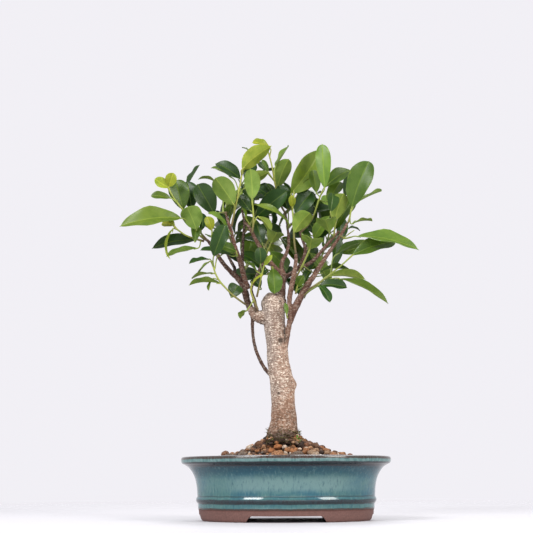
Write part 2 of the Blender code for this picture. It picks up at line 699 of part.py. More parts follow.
def in_crown(spot):
    x, z, _ = spot
    return math.hypot((x - CROWN_MIDDLE[0]) / CROWN_HALF[0], (z - CROWN_MIDDLE[1]) / CROWN_HALF[1]) < 1.0


def random_leaf(rng, path, heading, side, share, turn, terminal):
    """A leaf growing out of a stem at a share of its length, turned about the stem."""
    out = Matrix.Rotation(turn + rng.uniform(-INNER_TURN, INNER_TURN), 3, heading) @ side
    lean = rng.uniform(*(INNER_END_LEAN if terminal else INNER_LEAN))
    way = (out + heading * lean + Vector((0, 0, rng.uniform(*INNER_LIFT)))).normalized()
    length = rng.uniform(*INNER_LEAF_LENGTH)
    base = along(path, share) + way * rng.uniform(*INNER_STALK)
    width = length * rng.uniform(*INNER_LEAF_SHAPE)
    tone = rng.choice(INNER_TONES)
    return (share, elevation(base), elevation(base + way * length), width, rng.uniform(*INNER_ROLL),
            rng.uniform(*INNER_BOW), tone)


def inner_shoots(crown):
    rng = random.Random(INNER_SEED)
    made = {}
    for name, (start, direction, length, count) in INNER_SHOOTS.items():
        root = sight(*start)
        heading = Vector(direction).normalized()
        lift = Vector((0, 0, STEM_RISE * length))
        path = smooth_path([root, root + heading * length * 0.5, root + heading * length + lift], STEM_STEPS)
        crown.add(name, np.array(smooth_path(path, 2)))
        leaves = []
        side = heading.orthogonal().normalized()
        for i in range(count):
            share = INNER_FIRST_LEAF + (1.0 - INNER_FIRST_LEAF) * i / (count - 1)
            for _ in range(INNER_TRIES):
                leaf = random_leaf(rng, path, heading, side, share, i * DIVERGENCE, i == count - 1)
                blade = leaf_samples(leaf, 0.0)
                stalk = petiole_samples(leaf, path, 0.0)
                fits = in_crown(leaf[1]) and in_crown(leaf[2]) and crown.clear_of_wood(blade)
                if fits and crown.clear(blade, "") and crown.clear(stalk, name):
                    crown.add(name, blade)
                    crown.add(name, stalk)
                    leaves.append((leaf, 0.0))
                    break
        made[name] = (path, leaves)
    fill_crown(crown, made)
    return made


def covering_leaf(rng, path, x, z):
    """A leaf out of a stem whose middle lies at (x, z) in the front elevation."""
    share = rng.uniform(INNER_FIRST_LEAF, 1.0)
    stem = elevation(along(path, share))
    depth = stem[2] + rng.uniform(-FILL_DEPTH, FILL_DEPTH)
    way = math.atan2(z - stem[1], x - stem[0]) + rng.uniform(-FILL_TURN, FILL_TURN)
    length = rng.uniform(*INNER_LEAF_LENGTH)
    reach_x, reach_z = math.cos(way) * length / 2, math.sin(way) * length / 2
    x, z = x + rng.uniform(-FILL_DRIFT, FILL_DRIFT), z + rng.uniform(-FILL_DRIFT, FILL_DRIFT)
    tip = (x + reach_x, z + reach_z, depth + rng.uniform(-FILL_PITCH, FILL_PITCH))
    return (share, (x - reach_x, z - reach_z, depth), tip, length * rng.uniform(*INNER_LEAF_SHAPE),
            rng.uniform(*FILL_ROLL), rng.uniform(*INNER_BOW), rng.choice(INNER_TONES))


def stem_distance(path, x, z):
    """How far a stem passes from a place in the front elevation."""
    spots = [elevation(Vector(row)) for row in path]
    return min(math.hypot(x - spot[0], z - spot[1]) for spot in spots)


def fill_crown(crown, made):
    """Give the inner shoots further leaves where the crown would let light through."""
    rng = random.Random(FILL_SEED)
    for x, z in FILLED:
        near = sorted(made, key=lambda name: stem_distance(made[name][0], x, z))[:FILL_SHOOTS]
        for attempt in range(INNER_TRIES):
            name = near[attempt % FILL_SHOOTS]
            path, leaves = made[name]
            leaf = covering_leaf(rng, path, x, z)
            start, base, tip = along(path, leaf[0]), leaf_point(leaf, 0.0, 0.0), leaf_point(leaf, 1.0, 0.0)
            straight = (base - start).normalized().dot((tip - base).normalized())
            if straight < FILL_STRAIGHT or not STALK_IN_STEM < (base - start).length < FILL_STALK:
                continue
            blade, stalk = leaf_samples(leaf, 0.0), petiole_samples(leaf, path, 0.0)
            free = crown.clear_of_wood(blade) and crown.clear_of_wood(stalk)
            if free and crown.clear(blade, "") and crown.clear(stalk, name):
                crown.add(name, blade)
                crown.add(name, stalk)
                leaves.append((leaf, 0.0))
                break


def leaf_rings(leaf, stem, shift):
    """Four-cornered sections (left, top, right, bottom) from inside the stem to the leaf's tip."""
    start, base = along(stem, min(leaf[0], LAST_JOINT)), leaf_point(leaf, 0.0, 0.0, shift)
    length, side, upper = leaf_frame(base, leaf_point(leaf, 1.0, 0.0, shift), leaf[4])
    stalk = (base - start).normalized()
    bend = length.rotation_difference(stalk)
    mitre = Quaternion().slerp(bend, 0.5)
    rings = []
    for middle, turn in ((start, bend), (base, mitre)):
        across, above = turn @ side * PETIOLE_RADIUS, turn @ upper * PETIOLE_RADIUS
        rings.append((middle - across, middle + above, middle + across, middle - above))
    half = upper * LEAF_THICKNESS / 2
    for t in LEAF_STATIONS:
        left, middle, right = (leaf_point(leaf, t, across, shift) for across in (-1.0, 0.0, 1.0))
        rings.append((left, middle + half, right, middle - half))
    return rings


def leaf_into(bm, leaf, stem, shift):
    """Add a leaf on its stalk: one closed loft, sharp at the rim and thickest at the midrib."""
    part = bmesh.new()
    rings = [[part.verts.new(spot * MM) for spot in ring] for ring in leaf_rings(leaf, stem, shift)]
    tip = part.verts.new(leaf_point(leaf, 1.0, 0.0, shift) * MM)
    part.faces.new(rings[0])
    for i in range(4):
        j = (i + 1) % 4
        part.faces.new((tip, rings[-1][j], rings[-1][i]))
        for low, high in zip(rings, rings[1:]):
            part.faces.new((low[i], high[i], high[j], low[j]))
    bmesh.ops.triangulate(part, faces=part.faces)
    bmesh.ops.recalc_face_normals(part, faces=part.faces)
    mesh = bpy.data.meshes.new("leaf")
    part.to_mesh(mesh)
    part.free()
    bm.from_mesh(mesh)
    bpy.data.meshes.remove(mesh)


def build_shoot(name, path, leaves, group, wood_cutter):
    bm = bmesh.new()
    radii = [STEM_RADIUS - STEM_TAPER * i / (len(path) - 1) for i in range(len(path))]
    tube_into(bm, path, radii, 1)
    for leaf, shift in leaves:
        leaf_into(bm, leaf, path, shift)
    tone = leaves[0][0][-1]
    look = material(name + "_leaves", TONES[tone], 0.4)
    made = add_object(name, mesh_from(bm, name), group, look, 40)
    add_boolean(made, wood_cutter, "DIFFERENCE", self_overlaps=True)
    return made


def swollen(path, extra):
    """The points and radii of a limb, made larger by extra on its sides and at both ends."""
    points = [Vector(row[:3]) for row in path]
    ends = ((points[0] - points[1]).normalized(), (points[-1] - points[-2]).normalized())
    points[0] = points[0] + ends[0] * extra
    points[-1] = points[-1] + ends[1] * extra
    return points, [row[3] + extra for row in path]


def build_wood(limbs, group, cutters):
    """The trunk with every limb grown into it, and a copy one gap larger that trims what touches it."""
    made = []
    for name, extra in (("trunk_and_limbs", 0.0), ("wood_clearance", GAP)):
        trunk = bmesh.new()
        tube_into(trunk, *swollen(limbs["trunk"], extra), TRUNK_RINGS)
        boughs = bmesh.new()
        for key, path in limbs.items():
            if key != "trunk":
                rings = LIMB_RINGS if path[0][3] > TWIG_RADIUS else TWIG_RINGS
                tube_into(boughs, *swollen(path, extra), rings)
        operand = add_cutter(name + "_boughs", mesh_from(boughs, name + "_boughs"), cutters)
        if extra:
            body = add_cutter(name, mesh_from(trunk, name), cutters)
        else:
            body = add_object(name, mesh_from(trunk, name), group, material("bark", BARK, 0.85), 40)
        add_boolean(body, operand, "UNION", self_overlaps=True)
        made.append(body)
    return made


# Pot, soil and stones ------------------------------------------------------------------------------------


def turned(name, profile, steps, group, look, cutter=False):
    """An oval solid: a profile of (half width, height) in mm turned about Z, then narrowed in Y."""
    bm = bmesh.new()
    spots = [bm.verts.new((radius * MM, 0, height * MM)) for radius, height in profile]
    for a, b in zip(spots, spots[1:]):
        bm.edges.new((a, b))
    mesh = bpy.data.meshes.new(name)
    bm.to_mesh(mesh)
    bm.free()
    made = add_cutter(name, mesh, group) if cutter else add_object(name, mesh, group, look)
    turn = made.modifiers.new("turn", "SCREW")
    turn.axis = "Z"
    turn.steps = steps
    turn.render_steps = steps
    turn.use_merge_vertices = True
    turn.merge_threshold = 1e-5
    turn.use_normal_calculate = True
    made.scale = (1.0, POT_DEPTH_RATIO, 1.0)
    return made


def pot_profile():
    """Down the outside from the rim, under the foot ring, and up the inside."""
    outer = (
        (POT_HALF_WIDTH - 5.5, POT_HEIGHT), (POT_HALF_WIDTH - 1.2, POT_HEIGHT - 0.6),
        (POT_HALF_WIDTH, POT_HEIGHT - 2.2), (POT_HALF_WIDTH - 0.4, POT_HEIGHT - 5.0),
        (POT_HALF_WIDTH - 1.9, POT_HEIGHT - 7.4), (POT_HALF_WIDTH - 5.0, LIP_UNDERSIDE),
        *BODY_PROFILE, *BEAD_PROFILE, *FOOT_PROFILE,
    )
    inner = (
        (FOOT_INNER_HALF_WIDTH, FOOT_BOTTOM), (FOOT_INNER_HALF_WIDTH - 1.0, POT_FLOOR_UNDERSIDE),
        (0.0, POT_FLOOR_UNDERSIDE), (0.0, POT_FLOOR_TOP), (FLOOR_HALF_WIDTH, POT_FLOOR_TOP),
        *HOLLOW_PROFILE, (POT_HALF_WIDTH - 11.0, SOIL_EDGE_HEIGHT + 0.5),
        (POT_HALF_WIDTH - 10.5, POT_HEIGHT - 1.6), (POT_HALF_WIDTH - 9.0, POT_HEIGHT),
    )
    return outer, inner


def prism(name, widths, top, axis, group):
    """A cutter with a trapezoid section, wide at the floor, running under the whole pot along X or Y."""
    length = 2.2 * POT_HALF_WIDTH
    bm = bmesh.new()
    bmesh.ops.create_cube(bm, size=1.0)
    for vert in bm.verts:
        wide = widths[0] if vert.co.z < 0 else widths[1]
        height = (vert.co.z + 0.5) * (top + CUT_DEPTH) - CUT_DEPTH
        vert.co = Vector((vert.co.x * wide, vert.co.y * length, height)) * MM
    if axis == "X":
        bm.transform(Matrix.Rotation(math.pi / 2, 4, "Z"))
    return add_cutter(name, mesh_from(bm, name), group)


def build_pot(group, cutters):
    outer, inner = pot_profile()
    pot = turned("pot", outer + inner + outer[:1], POT_TURN_STEPS, group, material("glaze", GLAZE, 0.15))
    add_boolean(pot, prism("foot_gap_front", FOOT_GAP_FRONT, FOOT_GAP_TOP, "Y", cutters), "DIFFERENCE")
    add_boolean(pot, prism("foot_gap_side", FOOT_GAP_SIDE, FOOT_GAP_TOP, "X", cutters), "DIFFERENCE")
    for side, name in ((-1, "drain_hole_left"), (1, "drain_hole_right")):
        bm = bmesh.new()
        bmesh.ops.create_cone(bm, cap_ends=True, segments=20, radius1=DRAIN_HOLE_RADIUS * MM,
                              radius2=DRAIN_HOLE_RADIUS * MM, depth=0.03)
        hole = add_cutter(name, mesh_from(bm, name), cutters)
        hole.location = (side * DRAIN_HOLE_OFFSET * MM, 0, POT_FLOOR_TOP * MM)
        add_boolean(pot, hole, "DIFFERENCE")
    return pot


def build_screen(name, x, group, cutters, look):
    """A square of plastic mesh that keeps the soil from falling through a drain hole."""
    bm = bmesh.new()
    bmesh.ops.create_cube(bm, size=1.0)
    bmesh.ops.scale(bm, vec=Vector((SCREEN_SIZE, SCREEN_SIZE, SCREEN_THICKNESS)) * MM, verts=bm.verts)
    screen = add_object(name, mesh_from(bm, name), group, look)
    cells = bmesh.new()
    for i in range(SCREEN_CELLS):
        for j in range(SCREEN_CELLS):
            place = Vector((i - (SCREEN_CELLS - 1) / 2, j - (SCREEN_CELLS - 1) / 2, 0)) * SCREEN_PITCH * MM
            bmesh.ops.create_cube(cells, size=SCREEN_CELL * MM, matrix=Matrix.Translation(place))
    holes = add_cutter(name + "_cells", mesh_from(cells, name + "_cells"), cutters)
    height = POT_FLOOR_TOP + GAP + SCREEN_THICKNESS / 2
    for item in (screen, holes):
        item.location = (x * MM, 0, height * MM)
    add_boolean(screen, holes, "DIFFERENCE")
    return screen


def soil_height(x, y):
    """Height of the soil's surface: a cosine mound over the flat edge."""
    out = min(math.hypot(x, y / POT_DEPTH_RATIO) / SOIL_MOUND_HALF_WIDTH, 1.0)
    return SOIL_EDGE_HEIGHT + (SOIL_CROWN_HEIGHT - SOIL_EDGE_HEIGHT) * (0.5 + 0.5 * math.cos(math.pi * out))


def build_soil(group, wood_cutter):
    wall = [(half_width - SOIL_TO_WALL, height) for half_width, height in HOLLOW_PROFILE]
    inside = [(0.0, SOIL_BOTTOM), (FLOOR_HALF_WIDTH - SOIL_TO_WALL, SOIL_BOTTOM), *wall,
              (POT_HALF_WIDTH - SOIL_TO_RIM, SOIL_EDGE_HEIGHT)]
    spots = [i / SOIL_MOUND_RINGS * SOIL_MOUND_HALF_WIDTH for i in range(SOIL_MOUND_RINGS + 1)]
    mound = [(spot, soil_height(spot, 0)) for spot in spots]
    soil = turned("soil", mound + inside[::-1], POT_TURN_STEPS, group, material("soil", SOIL, 0.95))
    add_boolean(soil, wood_cutter, "DIFFERENCE")
    return soil


def build_pebble(name, x, y, half_length, half_height, turn, group, look):
    bm = bmesh.new()
    bmesh.ops.create_icosphere(bm, subdivisions=STONE_RINGS, radius=MM)
    bmesh.ops.scale(bm, vec=Vector((half_length, half_length * STONE_FLATNESS, half_height)), verts=bm.verts)
    pebble = add_object(name, mesh_from(bm, name), group, look, 60)
    reach = half_length / 2
    under = ((x, y), (x + reach, y), (x - reach, y), (x, y + reach), (x, y - reach))
    rest = max(soil_height(*spot) for spot in under)
    pebble.location = Vector((x, y, rest + half_height + GAP)) * MM
    pebble.rotation_euler = (0, 0, math.radians(turn))
    return pebble


def build_moss(group, wood_cutter, look):
    """A low cushion in front of the foot of the trunk."""
    bm = bmesh.new()
    bmesh.ops.create_icosphere(bm, subdivisions=STONE_RINGS, radius=MM)
    bmesh.ops.scale(bm, vec=Vector(MOSS_HALF_SIZE), verts=bm.verts)
    moss = add_object("moss_cushion", mesh_from(bm, "moss_cushion"), group, look, 60)
    x, y = MOSS_MIDDLE
    moss.location = Vector((x, y, soil_height(x, y + MOSS_HALF_SIZE[1] / 2) + MOSS_HALF_SIZE[2] + GAP)) * MM
    add_boolean(moss, wood_cutter, "DIFFERENCE")
    return moss


def centre_on_origin(parts):
    """Put everything under one empty, placed so that the object stands at the middle of its own box."""
    bpy.context.view_layer.update()
    graph = bpy.context.evaluated_depsgraph_get()
    corners = []
    for part in parts:
        shown = part.evaluated_get(graph)
        corners += [shown.matrix_world @ Vector(corner) for corner in shown.bound_box]
    root = bpy.data.objects.new("bonsai_root", None)
    bpy.context.scene.collection.objects.link(root)
    for part in bpy.data.objects:
        if part is not root:
            part.parent = root
    root.location.x = -(min(c.x for c in corners) + max(c.x for c in corners)) / 2
    root.location.y = -(min(c.y for c in corners) + max(c.y for c in corners)) / 2
    root.location.z = -FOOT_BOTTOM * MM


def main():
    clear_scene()
    group = collection("bonsai_in_oval_pot")
    cutters = collection("cutters")
    limbs = limb_rows()
    crown = Crown(wood_samples(limbs))
    shoots = front_shoots(crown)
    shoots.update(inner_shoots(crown))
    wood, wood_cutter = build_wood(limbs, group, cutters)
    parts = [build_pot(group, cutters), build_soil(group, wood_cutter), wood]
    screen_look = material("screen_plastic", SCREEN, 0.6)
    for name, side in (("drain_screen_left", -1), ("drain_screen_right", 1)):
        parts.append(build_screen(name, side * DRAIN_HOLE_OFFSET, group, cutters, screen_look))
    parts.append(build_moss(group, wood_cutter, material("moss", MOSS, 0.95)))
    stone = material("fired_clay_pebble", STONE, 0.9)
    for number, row in enumerate(PEBBLES, 1):
        parts.append(build_pebble(f"pebble_{number:02d}", *row, group, stone))
    for name, (path, leaves) in shoots.items():
        parts.append(build_shoot(name, path, leaves, group, wood_cutter))
    centre_on_origin(parts)


main()
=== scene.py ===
"""The looks of a small fig bonsai in an oval glazed pot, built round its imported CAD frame.

The tree is set out again from the same points as the CAD model, in millimetres round the middle of the pot,
and given finer shapes and materials: bark, leaves, glaze, soil, gravel and moss.
"""

import math
import random

import bmesh
import bpy
import numpy as np
from mathutils import Matrix, Vector, noise
from mathutils.kdtree import KDTree


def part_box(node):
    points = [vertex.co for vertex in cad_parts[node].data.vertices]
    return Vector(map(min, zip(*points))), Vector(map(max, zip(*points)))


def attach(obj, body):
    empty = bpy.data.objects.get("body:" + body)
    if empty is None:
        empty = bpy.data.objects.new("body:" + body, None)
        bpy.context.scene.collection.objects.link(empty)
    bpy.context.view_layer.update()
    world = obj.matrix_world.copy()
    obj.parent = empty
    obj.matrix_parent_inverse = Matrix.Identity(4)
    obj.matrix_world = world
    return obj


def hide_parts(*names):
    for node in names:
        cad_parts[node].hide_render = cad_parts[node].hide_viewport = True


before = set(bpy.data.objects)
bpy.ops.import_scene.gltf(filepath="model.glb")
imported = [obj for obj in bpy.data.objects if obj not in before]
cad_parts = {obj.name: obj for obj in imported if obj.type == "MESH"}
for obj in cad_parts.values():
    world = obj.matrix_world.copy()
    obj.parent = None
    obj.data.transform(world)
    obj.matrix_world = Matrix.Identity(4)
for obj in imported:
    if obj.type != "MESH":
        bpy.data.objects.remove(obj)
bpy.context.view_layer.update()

MM = 0.001

# The eye of the front elevation.
EYE_DISTANCE = 1150.0
EYE_HEIGHT = 45.0

# Trunk: (height, middle x, radius). It starts inside the soil.
TRUNK_DEPTH = 0.0
TRUNK = (
    (62.0, -2.6, 15.0),
    (76.0, -2.6, 18.5),
    (84.0, -2.6, 18.2),
    (90.0, -2.6, 16.6),
    (101.0, -1.6, 14.2),
    (115.0, -2.0, 13.0),
    (131.0, -2.6, 12.6),
    (143.0, -3.0, 13.2),
    (154.0, -4.9, 12.3),
    (168.0, -7.5, 11.6),
    (187.0, -8.9, 10.9),
    (205.0, -10.8, 11.4),
    (222.0, -12.0, 12.0),
    (232.0, -12.6, 11.4),
    (238.0, -12.4, 8.6),
    (241.0, -12.0, 4.5),
)

# Limbs: x, z, depth and radius of the points along each. They are grown into the trunk, so wood is one piece.
LIMBS = """
left_joint: -18 214 0 8, -27 215 -2 7.2, -33 218 -2 5, -37 224 -1 3.6
left_main: -33 216 -1 4.6, -38 226 0 4, -42 238 1 3.9, -45.5 250 2 3.8, -51 258 3 3.6, -57.5 264 4 3,
  -64 271 5 2.8, -70 279 6 2.6, -77 290 8 2.3, -83 299 9 2, -88 302 10 1.7
left_inner: -39 246 0 3, -43 256 -4 3, -46 267 -6 3, -49 278 -8 2.9, -53 290 -9 2.6, -56 301 -10 2.4,
  -58.5 312 -11 2.2, -61 320 -11 1.8, -64 330 -11 1.4
left_upright: -44 262 -3 2.5, -46 275 4 2.4, -45.5 290 9 2.2, -44.5 305 13 2, -43.5 320 16 1.7,
  -46 333 19 1.4
left_second: -55 262 4 2.4, -54 268 12 2.2, -58 276 19 2, -62 284 25 1.7
left_side_shoot: -12 150 -3 2.6, -20 157 -6 2.3, -27.6 170 -6 2.1, -32.7 185 -5 2, -34.8 202 -4 2,
  -34.6 217 -2 2.2
joint_twig: -30 221 -6 2.4, -33 234 -6 2.2, -36 246 -6 2, -31 258 -4 1.9, -26 269 -2 1.9, -20 281 0 1.9
top_main: -4 226 0 5, -2.6 238 0 4.2, -2 250 1 3.9, -1 260 2 3.7, -3 268 4 3, -2 276 8 2.6, 2 284 12 2.3,
  5 296 17 2, 4 312 22 1.7, 2 328 26 1.4
top_left: -1 259 2 3.2, -9 268 0 2.7, -19 280 -2 2.6, -26 291 -4 2.5, -32 302 -6 2.3, -37 312 -7 2,
  -43 320 -8 1.7
top_right: -1 258 2 3, 7 262 2 2.7, 15 268 3 2.6, 20 277 6 2.4, 23 289 10 2.1, 20 300 14 1.9,
  17 309 18 1.6
right_front: -2 172 -4 3, 1.5 186 -6 2.9, 3.5 200 -8 3.3, 6 214 -9 3.3, 5 228 -8 3, 6 240 -7 3.2,
  8.5 252 -6 3.1, 11 264 -5 2.9, 12.5 276 -4 2.4, 12.5 284 -4 2
right_outer: 5.5 208 -8 3.4, 9.5 220 -8 4.2, 14 230 -9 4.6, 20 241 -11 4, 25 250 -12 3.6, 31 258 -13 3.2,
  38 269 -13 2.8, 45 280 -12 2.5, 52 290 -11 2.3, 58 299 -10 2.1, 64 308 -9 1.9, 69 318 -8 1.6
right_inner: 14 267 3 2.5, 24 271.5 -1 2.4, 32 277 -4 2.3, 40 286 -5 2.1, 47 294 -5 2, 54 302 -4 1.8,
  60 309 -3 1.5
back_left: -40 238 3 3, -44 250 16 2.7, -46 264 30 2.3, -50 280 42 1.9
back_right: 10 222 -6 3, 18 236 8 2.7, 27 250 22 2.4, 34 266 36 2
back_top: -5 232 2 3.6, -9 248 14 3, -12 264 26 2.6, -14 284 38 2.1
"""
LIMB_STEPS = 1

# Leaves.
LEAF_FOLD = 0.22
LEAF_NARROWEST = 0.5
POINTED_BOW = 4
STEM_STEPS = 1
STALK_IN_STEM = 4.0
LAST_JOINT = 0.96
LEAF_ALONG = (0.06, 0.18, 0.3, 0.42, 0.54, 0.66, 0.78, 0.9, 1.0)
LEAF_ACROSS = (-1.0, -0.5, 0.0, 0.5, 1.0)
STALK_ALONG = (0.15, 0.3, 0.45, 0.6, 0.75, 0.9)
LEAF_CLEARANCE = 3.6
WOOD_CLEARANCE = 2.0
DEPTH_STEPS = (0, 5, -5, 10, -10, 15, -15, 20, -20, 25, -25, 30, -30, 36, -36, 42, -42)

# Shoots, front ones first: the name and the x, z and depth of the points along the stem, then a line for
# each leaf: its place along the stem, base (x, z, depth), tip (x, z, depth), width, roll, bow and tone. At
# roll 0 its upper face meets the eye, at 90 it is edge-on with that face up, at 180 its underside shows.
SHOOTS = """
right_low_front: 21 238 -13, 27 243 -20, 35 248 -26
1 36 248 -27 68 246 -30 15 48 3 dark
0.9 37 249 -30 49 230 -38 11 35 3 dark
right_low: 25 244 -14, 33 249 -18, 42 255 -20, 52 263 -22, 62 271 -23, 72 280 -24
1 74 282 -24 122 297 -20 20 35 3 mature
0.55 57 283 -12 83 296 -6 13 120 2 dark
0.3 48 259 -12 88 255 8 15 128 4 light
0.3 60 256 -26 112 228 -40 18 62 5 mature
right_far: 61 304 -10, 66 301 -14, 72 302 -17
1 80 303 -18 147 287 -24 22 55 5 light
0.4 67 303 -14 77 310 -17 3 80 0 young
right_tall: 70 318 -8, 72 324 -10, 73.5 332 -12
1 74.5 336 -13 95 389 -22 27 12 3 mature
0.9 80 341 -4 108 354 12 16 92 1 light
0.5 74 317 -6 97 320 2 12 96 2 light
0.35 70 312 2 83 309 6 9 80 2 dark
right_upper: 18 308 16, 27 317 8, 33 328 -2, 38 343 -10, 41 351 -14
1 45 358 -22 43 409 -26 17 4 3 light
1 45.5 359 -16 75 378 -12 17 30 4 mature
0.9 36 353 -12 32 379 -16 13 10 2 mature
0.7 34 336 4 24 352 12 15 20 2 dark
0.8 48 343 -6 63 365 0 16 25 2 mature
right_middle: 54 301 -5, 55 309 -10, 56 317 -16
1 56 322 -18 66 352 -24 20 165 3 light
0.9 51 331 -8 54 352 -4 14 20 2 dark
0.9 66 348 2 71 375 6 14 30 2 dark
0.2 49 308 -16 45 322 -42 22 168 3 light
front_heart: 12.5 258 -11, 17 266 -18, 22 276 -26, 26 285 -32
1 28 289 -34 30 301 -60 25 172 2 light
0.5 38 262 -20 74 263 -14 12 118 7 dark
centre_low_right: 12 240 -9, 13.5 246 -13
1 14 248 -14 21 260 -24 10 15 1 mature
0.5 21 250 -12 29 266 -6 11 40 2 dark
centre_right: 12.5 285 -4, 11 300 -8, 10.5 318 -10, 9.5 334 -10, 11 350 -10
1 8 352 -12 41 402 -10 30 -12 4 light
0.75 9 337 -14 8 350 -22 8 10 1 young
1 12 352 -14 37 375 -18 5 60 3 young
0.9 15 350 -2 27 365 4 14 10 2 dark
0.7 12 329 -4 31 354 2 20 5 2 dark
0.35 11 308 -14 29 330 -22 20 160 3 light
centre_arching: 3.5 312 20, 6 316 10
1 6 317 2 -33 340 -16 12 62 5 light
0.4 4 334 14 -5 362 10 17 12 2 dark
top_centre: 2 329 26, -3 338 20, -6 347 14, -10 366 8, -13 384 2, -16 397 -2
1 -15 404 -4 -35 411 -10 13 55 2 young
0.35 -7 359 -6 6 392 -12 19 168 3 light
0.6 -9 383 12 6 407 22 15 76 0 light
0.6 -17 377 2 -24 391 -2 6 20 1 mature
0.6 -20 378 12 -28 388 16 8 30 1 dark
0.3 -10 346 4 -19 364 0 8 35 2 dark
0.2 -14 346 12 -31 358 16 13 40 3 dark
centre_left: -35 308 -9, -33.5 320 -14, -34 334 -18, -35 344 -22
1 -35 346 -23 -37 381 -30 18 170 3 light
0.6 -37 333 -8 -50 350 -4 14 15 2 dark
0.9 -27 375 6 -1 378 14 13 90 2 dark
0.3 -28 326 -16 -15 309 -24 11 140 3 light
left_top: -57.5 316 -11, -55.5 326 -15, -53.5 337 -18, -51 349 -19, -48 364 -18, -46 376 -16
1 -46 380 -16 -13 407 -10 21 158 4 young
0.35 -55 340 -24 -76 371 -32 23 172 3 light
0.55 -44 358 -24 -16 377 -30 15 150 4 light
0.75 -43 369 -10 -34 388 -4 15 8 2 dark
0.75 -48 369 -14 -76 387 -8 18 38 4 dark
0.7 -58 371 -4 -81 382 4 10 55 3 mature
0.95 -38 401 -2 -46 405 6 5 80 1 mature
left_middle: -63 331 -11, -69 331 -4, -77 330 0
1 -77 330 0 -96 364 -8 24 14 3 dark
0.3 -72 362 4 -95 369 10 12 98 4 light
left_middle_front: -58 306 -13, -61 311 -20
1 -62 312 -22 -84 331 -34 13 70 3 light
left_far: -84 300 9, -92 309 4, -104 324 -4, -113 337 -8, -120 346 -10, -126 356 -12
1 -127.5 360 -13 -143 370 -18 12 20 1 young
1 -127 361 -13 -122 377 -20 13 10 1 young
0.7 -125 348 -14 -147 350.5 -18 11 40 2 mature
0.6 -111 335 -2 -120 369 -4 23 8 3 mature
0.45 -102 335 6 -107 367 8 20 6 2 dark
0.75 -109 358 14 -93 386 20 14 72 0 dark
left_wide: -87 301 6, -93 306 -2, -98 311 -8
1 -96 312 -14 -107 338 -26 24 168 3 light
1 -113 325 -14 -181 316 -26 26 42 8 light
0.2 -91 311 10 -90 331 14 10 20 1 dark
0.5 -98 299 -6 -97 318 -2 11 15 1 mature
left_bright: -78 295 5, -79 303 -2, -79 309 -6
1 -79.5 311 -7 -85 327 -12 11 10 2 young
left_hanging: -88 299 5, -98 302 -2, -108 306 -8, -118 313 -12
1 -120 316 -13 -131 327 -15 7 40 1 young
1 -121 317 -11 -134 320 -4 9 20 1 young
1 -122 313 -14 -124.5 279 -18 13 88 5 young
0.3 -97 300 2 -145 291 -4 18 40 4 dark
0.1 -95 291 -6 -129 282 -16 13 118 2 light
left_trailing: -41 228 -4, -47 232 -10, -56 239 -16, -63 246 -20, -70 254 -20, -75 263 -18, -78 273 -15
0.6 -70 252 -22 -104 250 -30 15 112 3 light
0.7 -78 257 -20 -82 244 -24 6 60 1 light
0.8 -77 263 -14 -101 257 -4 12 94 2 light
1 -82 279 -16 -104 274 -20 12 70 1 dark
0.95 -82 276 -8 -94 262 2 9 84 1 light
1 -77 282 -16 -64 318 -26 18 14 3 dark
0.3 -58 237 -12 -50 250 -8 17 8 1 dark
0.9 -70 283 -8 -53 284 4 13 110 2 mature
left_inner: -51 281 -10, -52 285 -14
1 -53 287 -15 -72 293 -22 12 30 3 mature
0.5 -56 282 -17 -92 289 -24 15 62 2 dark
joint_bright: -29 223 -9, -33 233 -14, -36.5 243 -18, -36 248 -20
1 -35.5 250 -20 -23 261 -26 7 70 1 young
0.35 -41 222 -14 -48 213 -10 9 130 2 mature
joint_dark: -30 237 -9, -28 246 -14, -25.5 257 -18, -23 268 -20
1 -22 271 -21 -13 283 -24 6 20 1 young
0.3 -26 247 -12 -34 257 -6 13 15 1 dark
0.8 -30 265 -20 -43 276 -22 10 75 1 mature
0.9 -26 273 -23 -27 292 -28 13 10 2 dark
centre_curled: -20 283 -6, -17 290 -14
1 -14.5 296 -20 -8 308 -44 19 166 2 light
0.3 -24 296 -4 -30 318 2 14 12 2 dark
behind_trunk: -9 250 15, -13 259 10, -14 267 9
1 -12.5 268 11 -11 240 8 17 14 3 mature
0.7 -17 266 6 -28 256 2 12 50 2 dark
small_fork: 3 213 -12, 2.4 216 -13
1 2 217 -13 0.5 230 -12 5 10 0 mature
"""

# Shoots inside and at the back of the crown: where each leaves the wood, which way it grows, its length and
# its number of leaves. Their leaves are set out by rule, inside the oval that the crown fills.
INNER_SHOOTS = {
    "shoot_inner_1": ((-50, 280, 42), (-0.35, 0.25, 0.85), 52, 7),
    "shoot_inner_2": ((-46, 263, 30), (0.2, 0.8, 0.45), 44, 6),
    "shoot_inner_3": ((34, 266, 36), (0.35, 0.3, 0.85), 50, 7),
    "shoot_inner_4": ((27, 250, 22), (-0.15, 0.8, 0.5), 44, 6),
    "shoot_inner_5": ((-14, 284, 38), (0.1, 0.4, 0.9), 54, 7),
    "shoot_inner_6": ((-10, 256, 21), (-0.3, 0.9, 0.4), 40, 6),
    "shoot_inner_7": ((-46, 333, 19), (0.25, 0.35, 0.9), 28, 6),
    "shoot_inner_8": ((4, 312, 22), (0.45, 0.5, 0.7), 42, 6),
    "shoot_inner_9": ((-62, 284, 25), (-0.2, 0.4, 0.85), 34, 6),
    "shoot_inner_10": ((-44.5, 306, 13), (0.45, 0.3, 0.8), 34, 6),
    "shoot_inner_11": ((22, 286, 9), (0.5, 0.45, 0.75), 34, 6),
    "shoot_inner_12": ((-24, 288, -3), (0.25, 0.75, 0.6), 38, 6),
}
INNER_SEED = 11
INNER_TRIES = 240
INNER_LEAF_LENGTH = (32.0, 48.0)
INNER_LEAF_SHAPE = (0.42, 0.52)
INNER_STALK = (6.0, 11.0)
INNER_LEAN = (0.3, 1.0)
INNER_END_LEAN = (1.2, 2.4)
INNER_LIFT = (-0.2, 0.35)
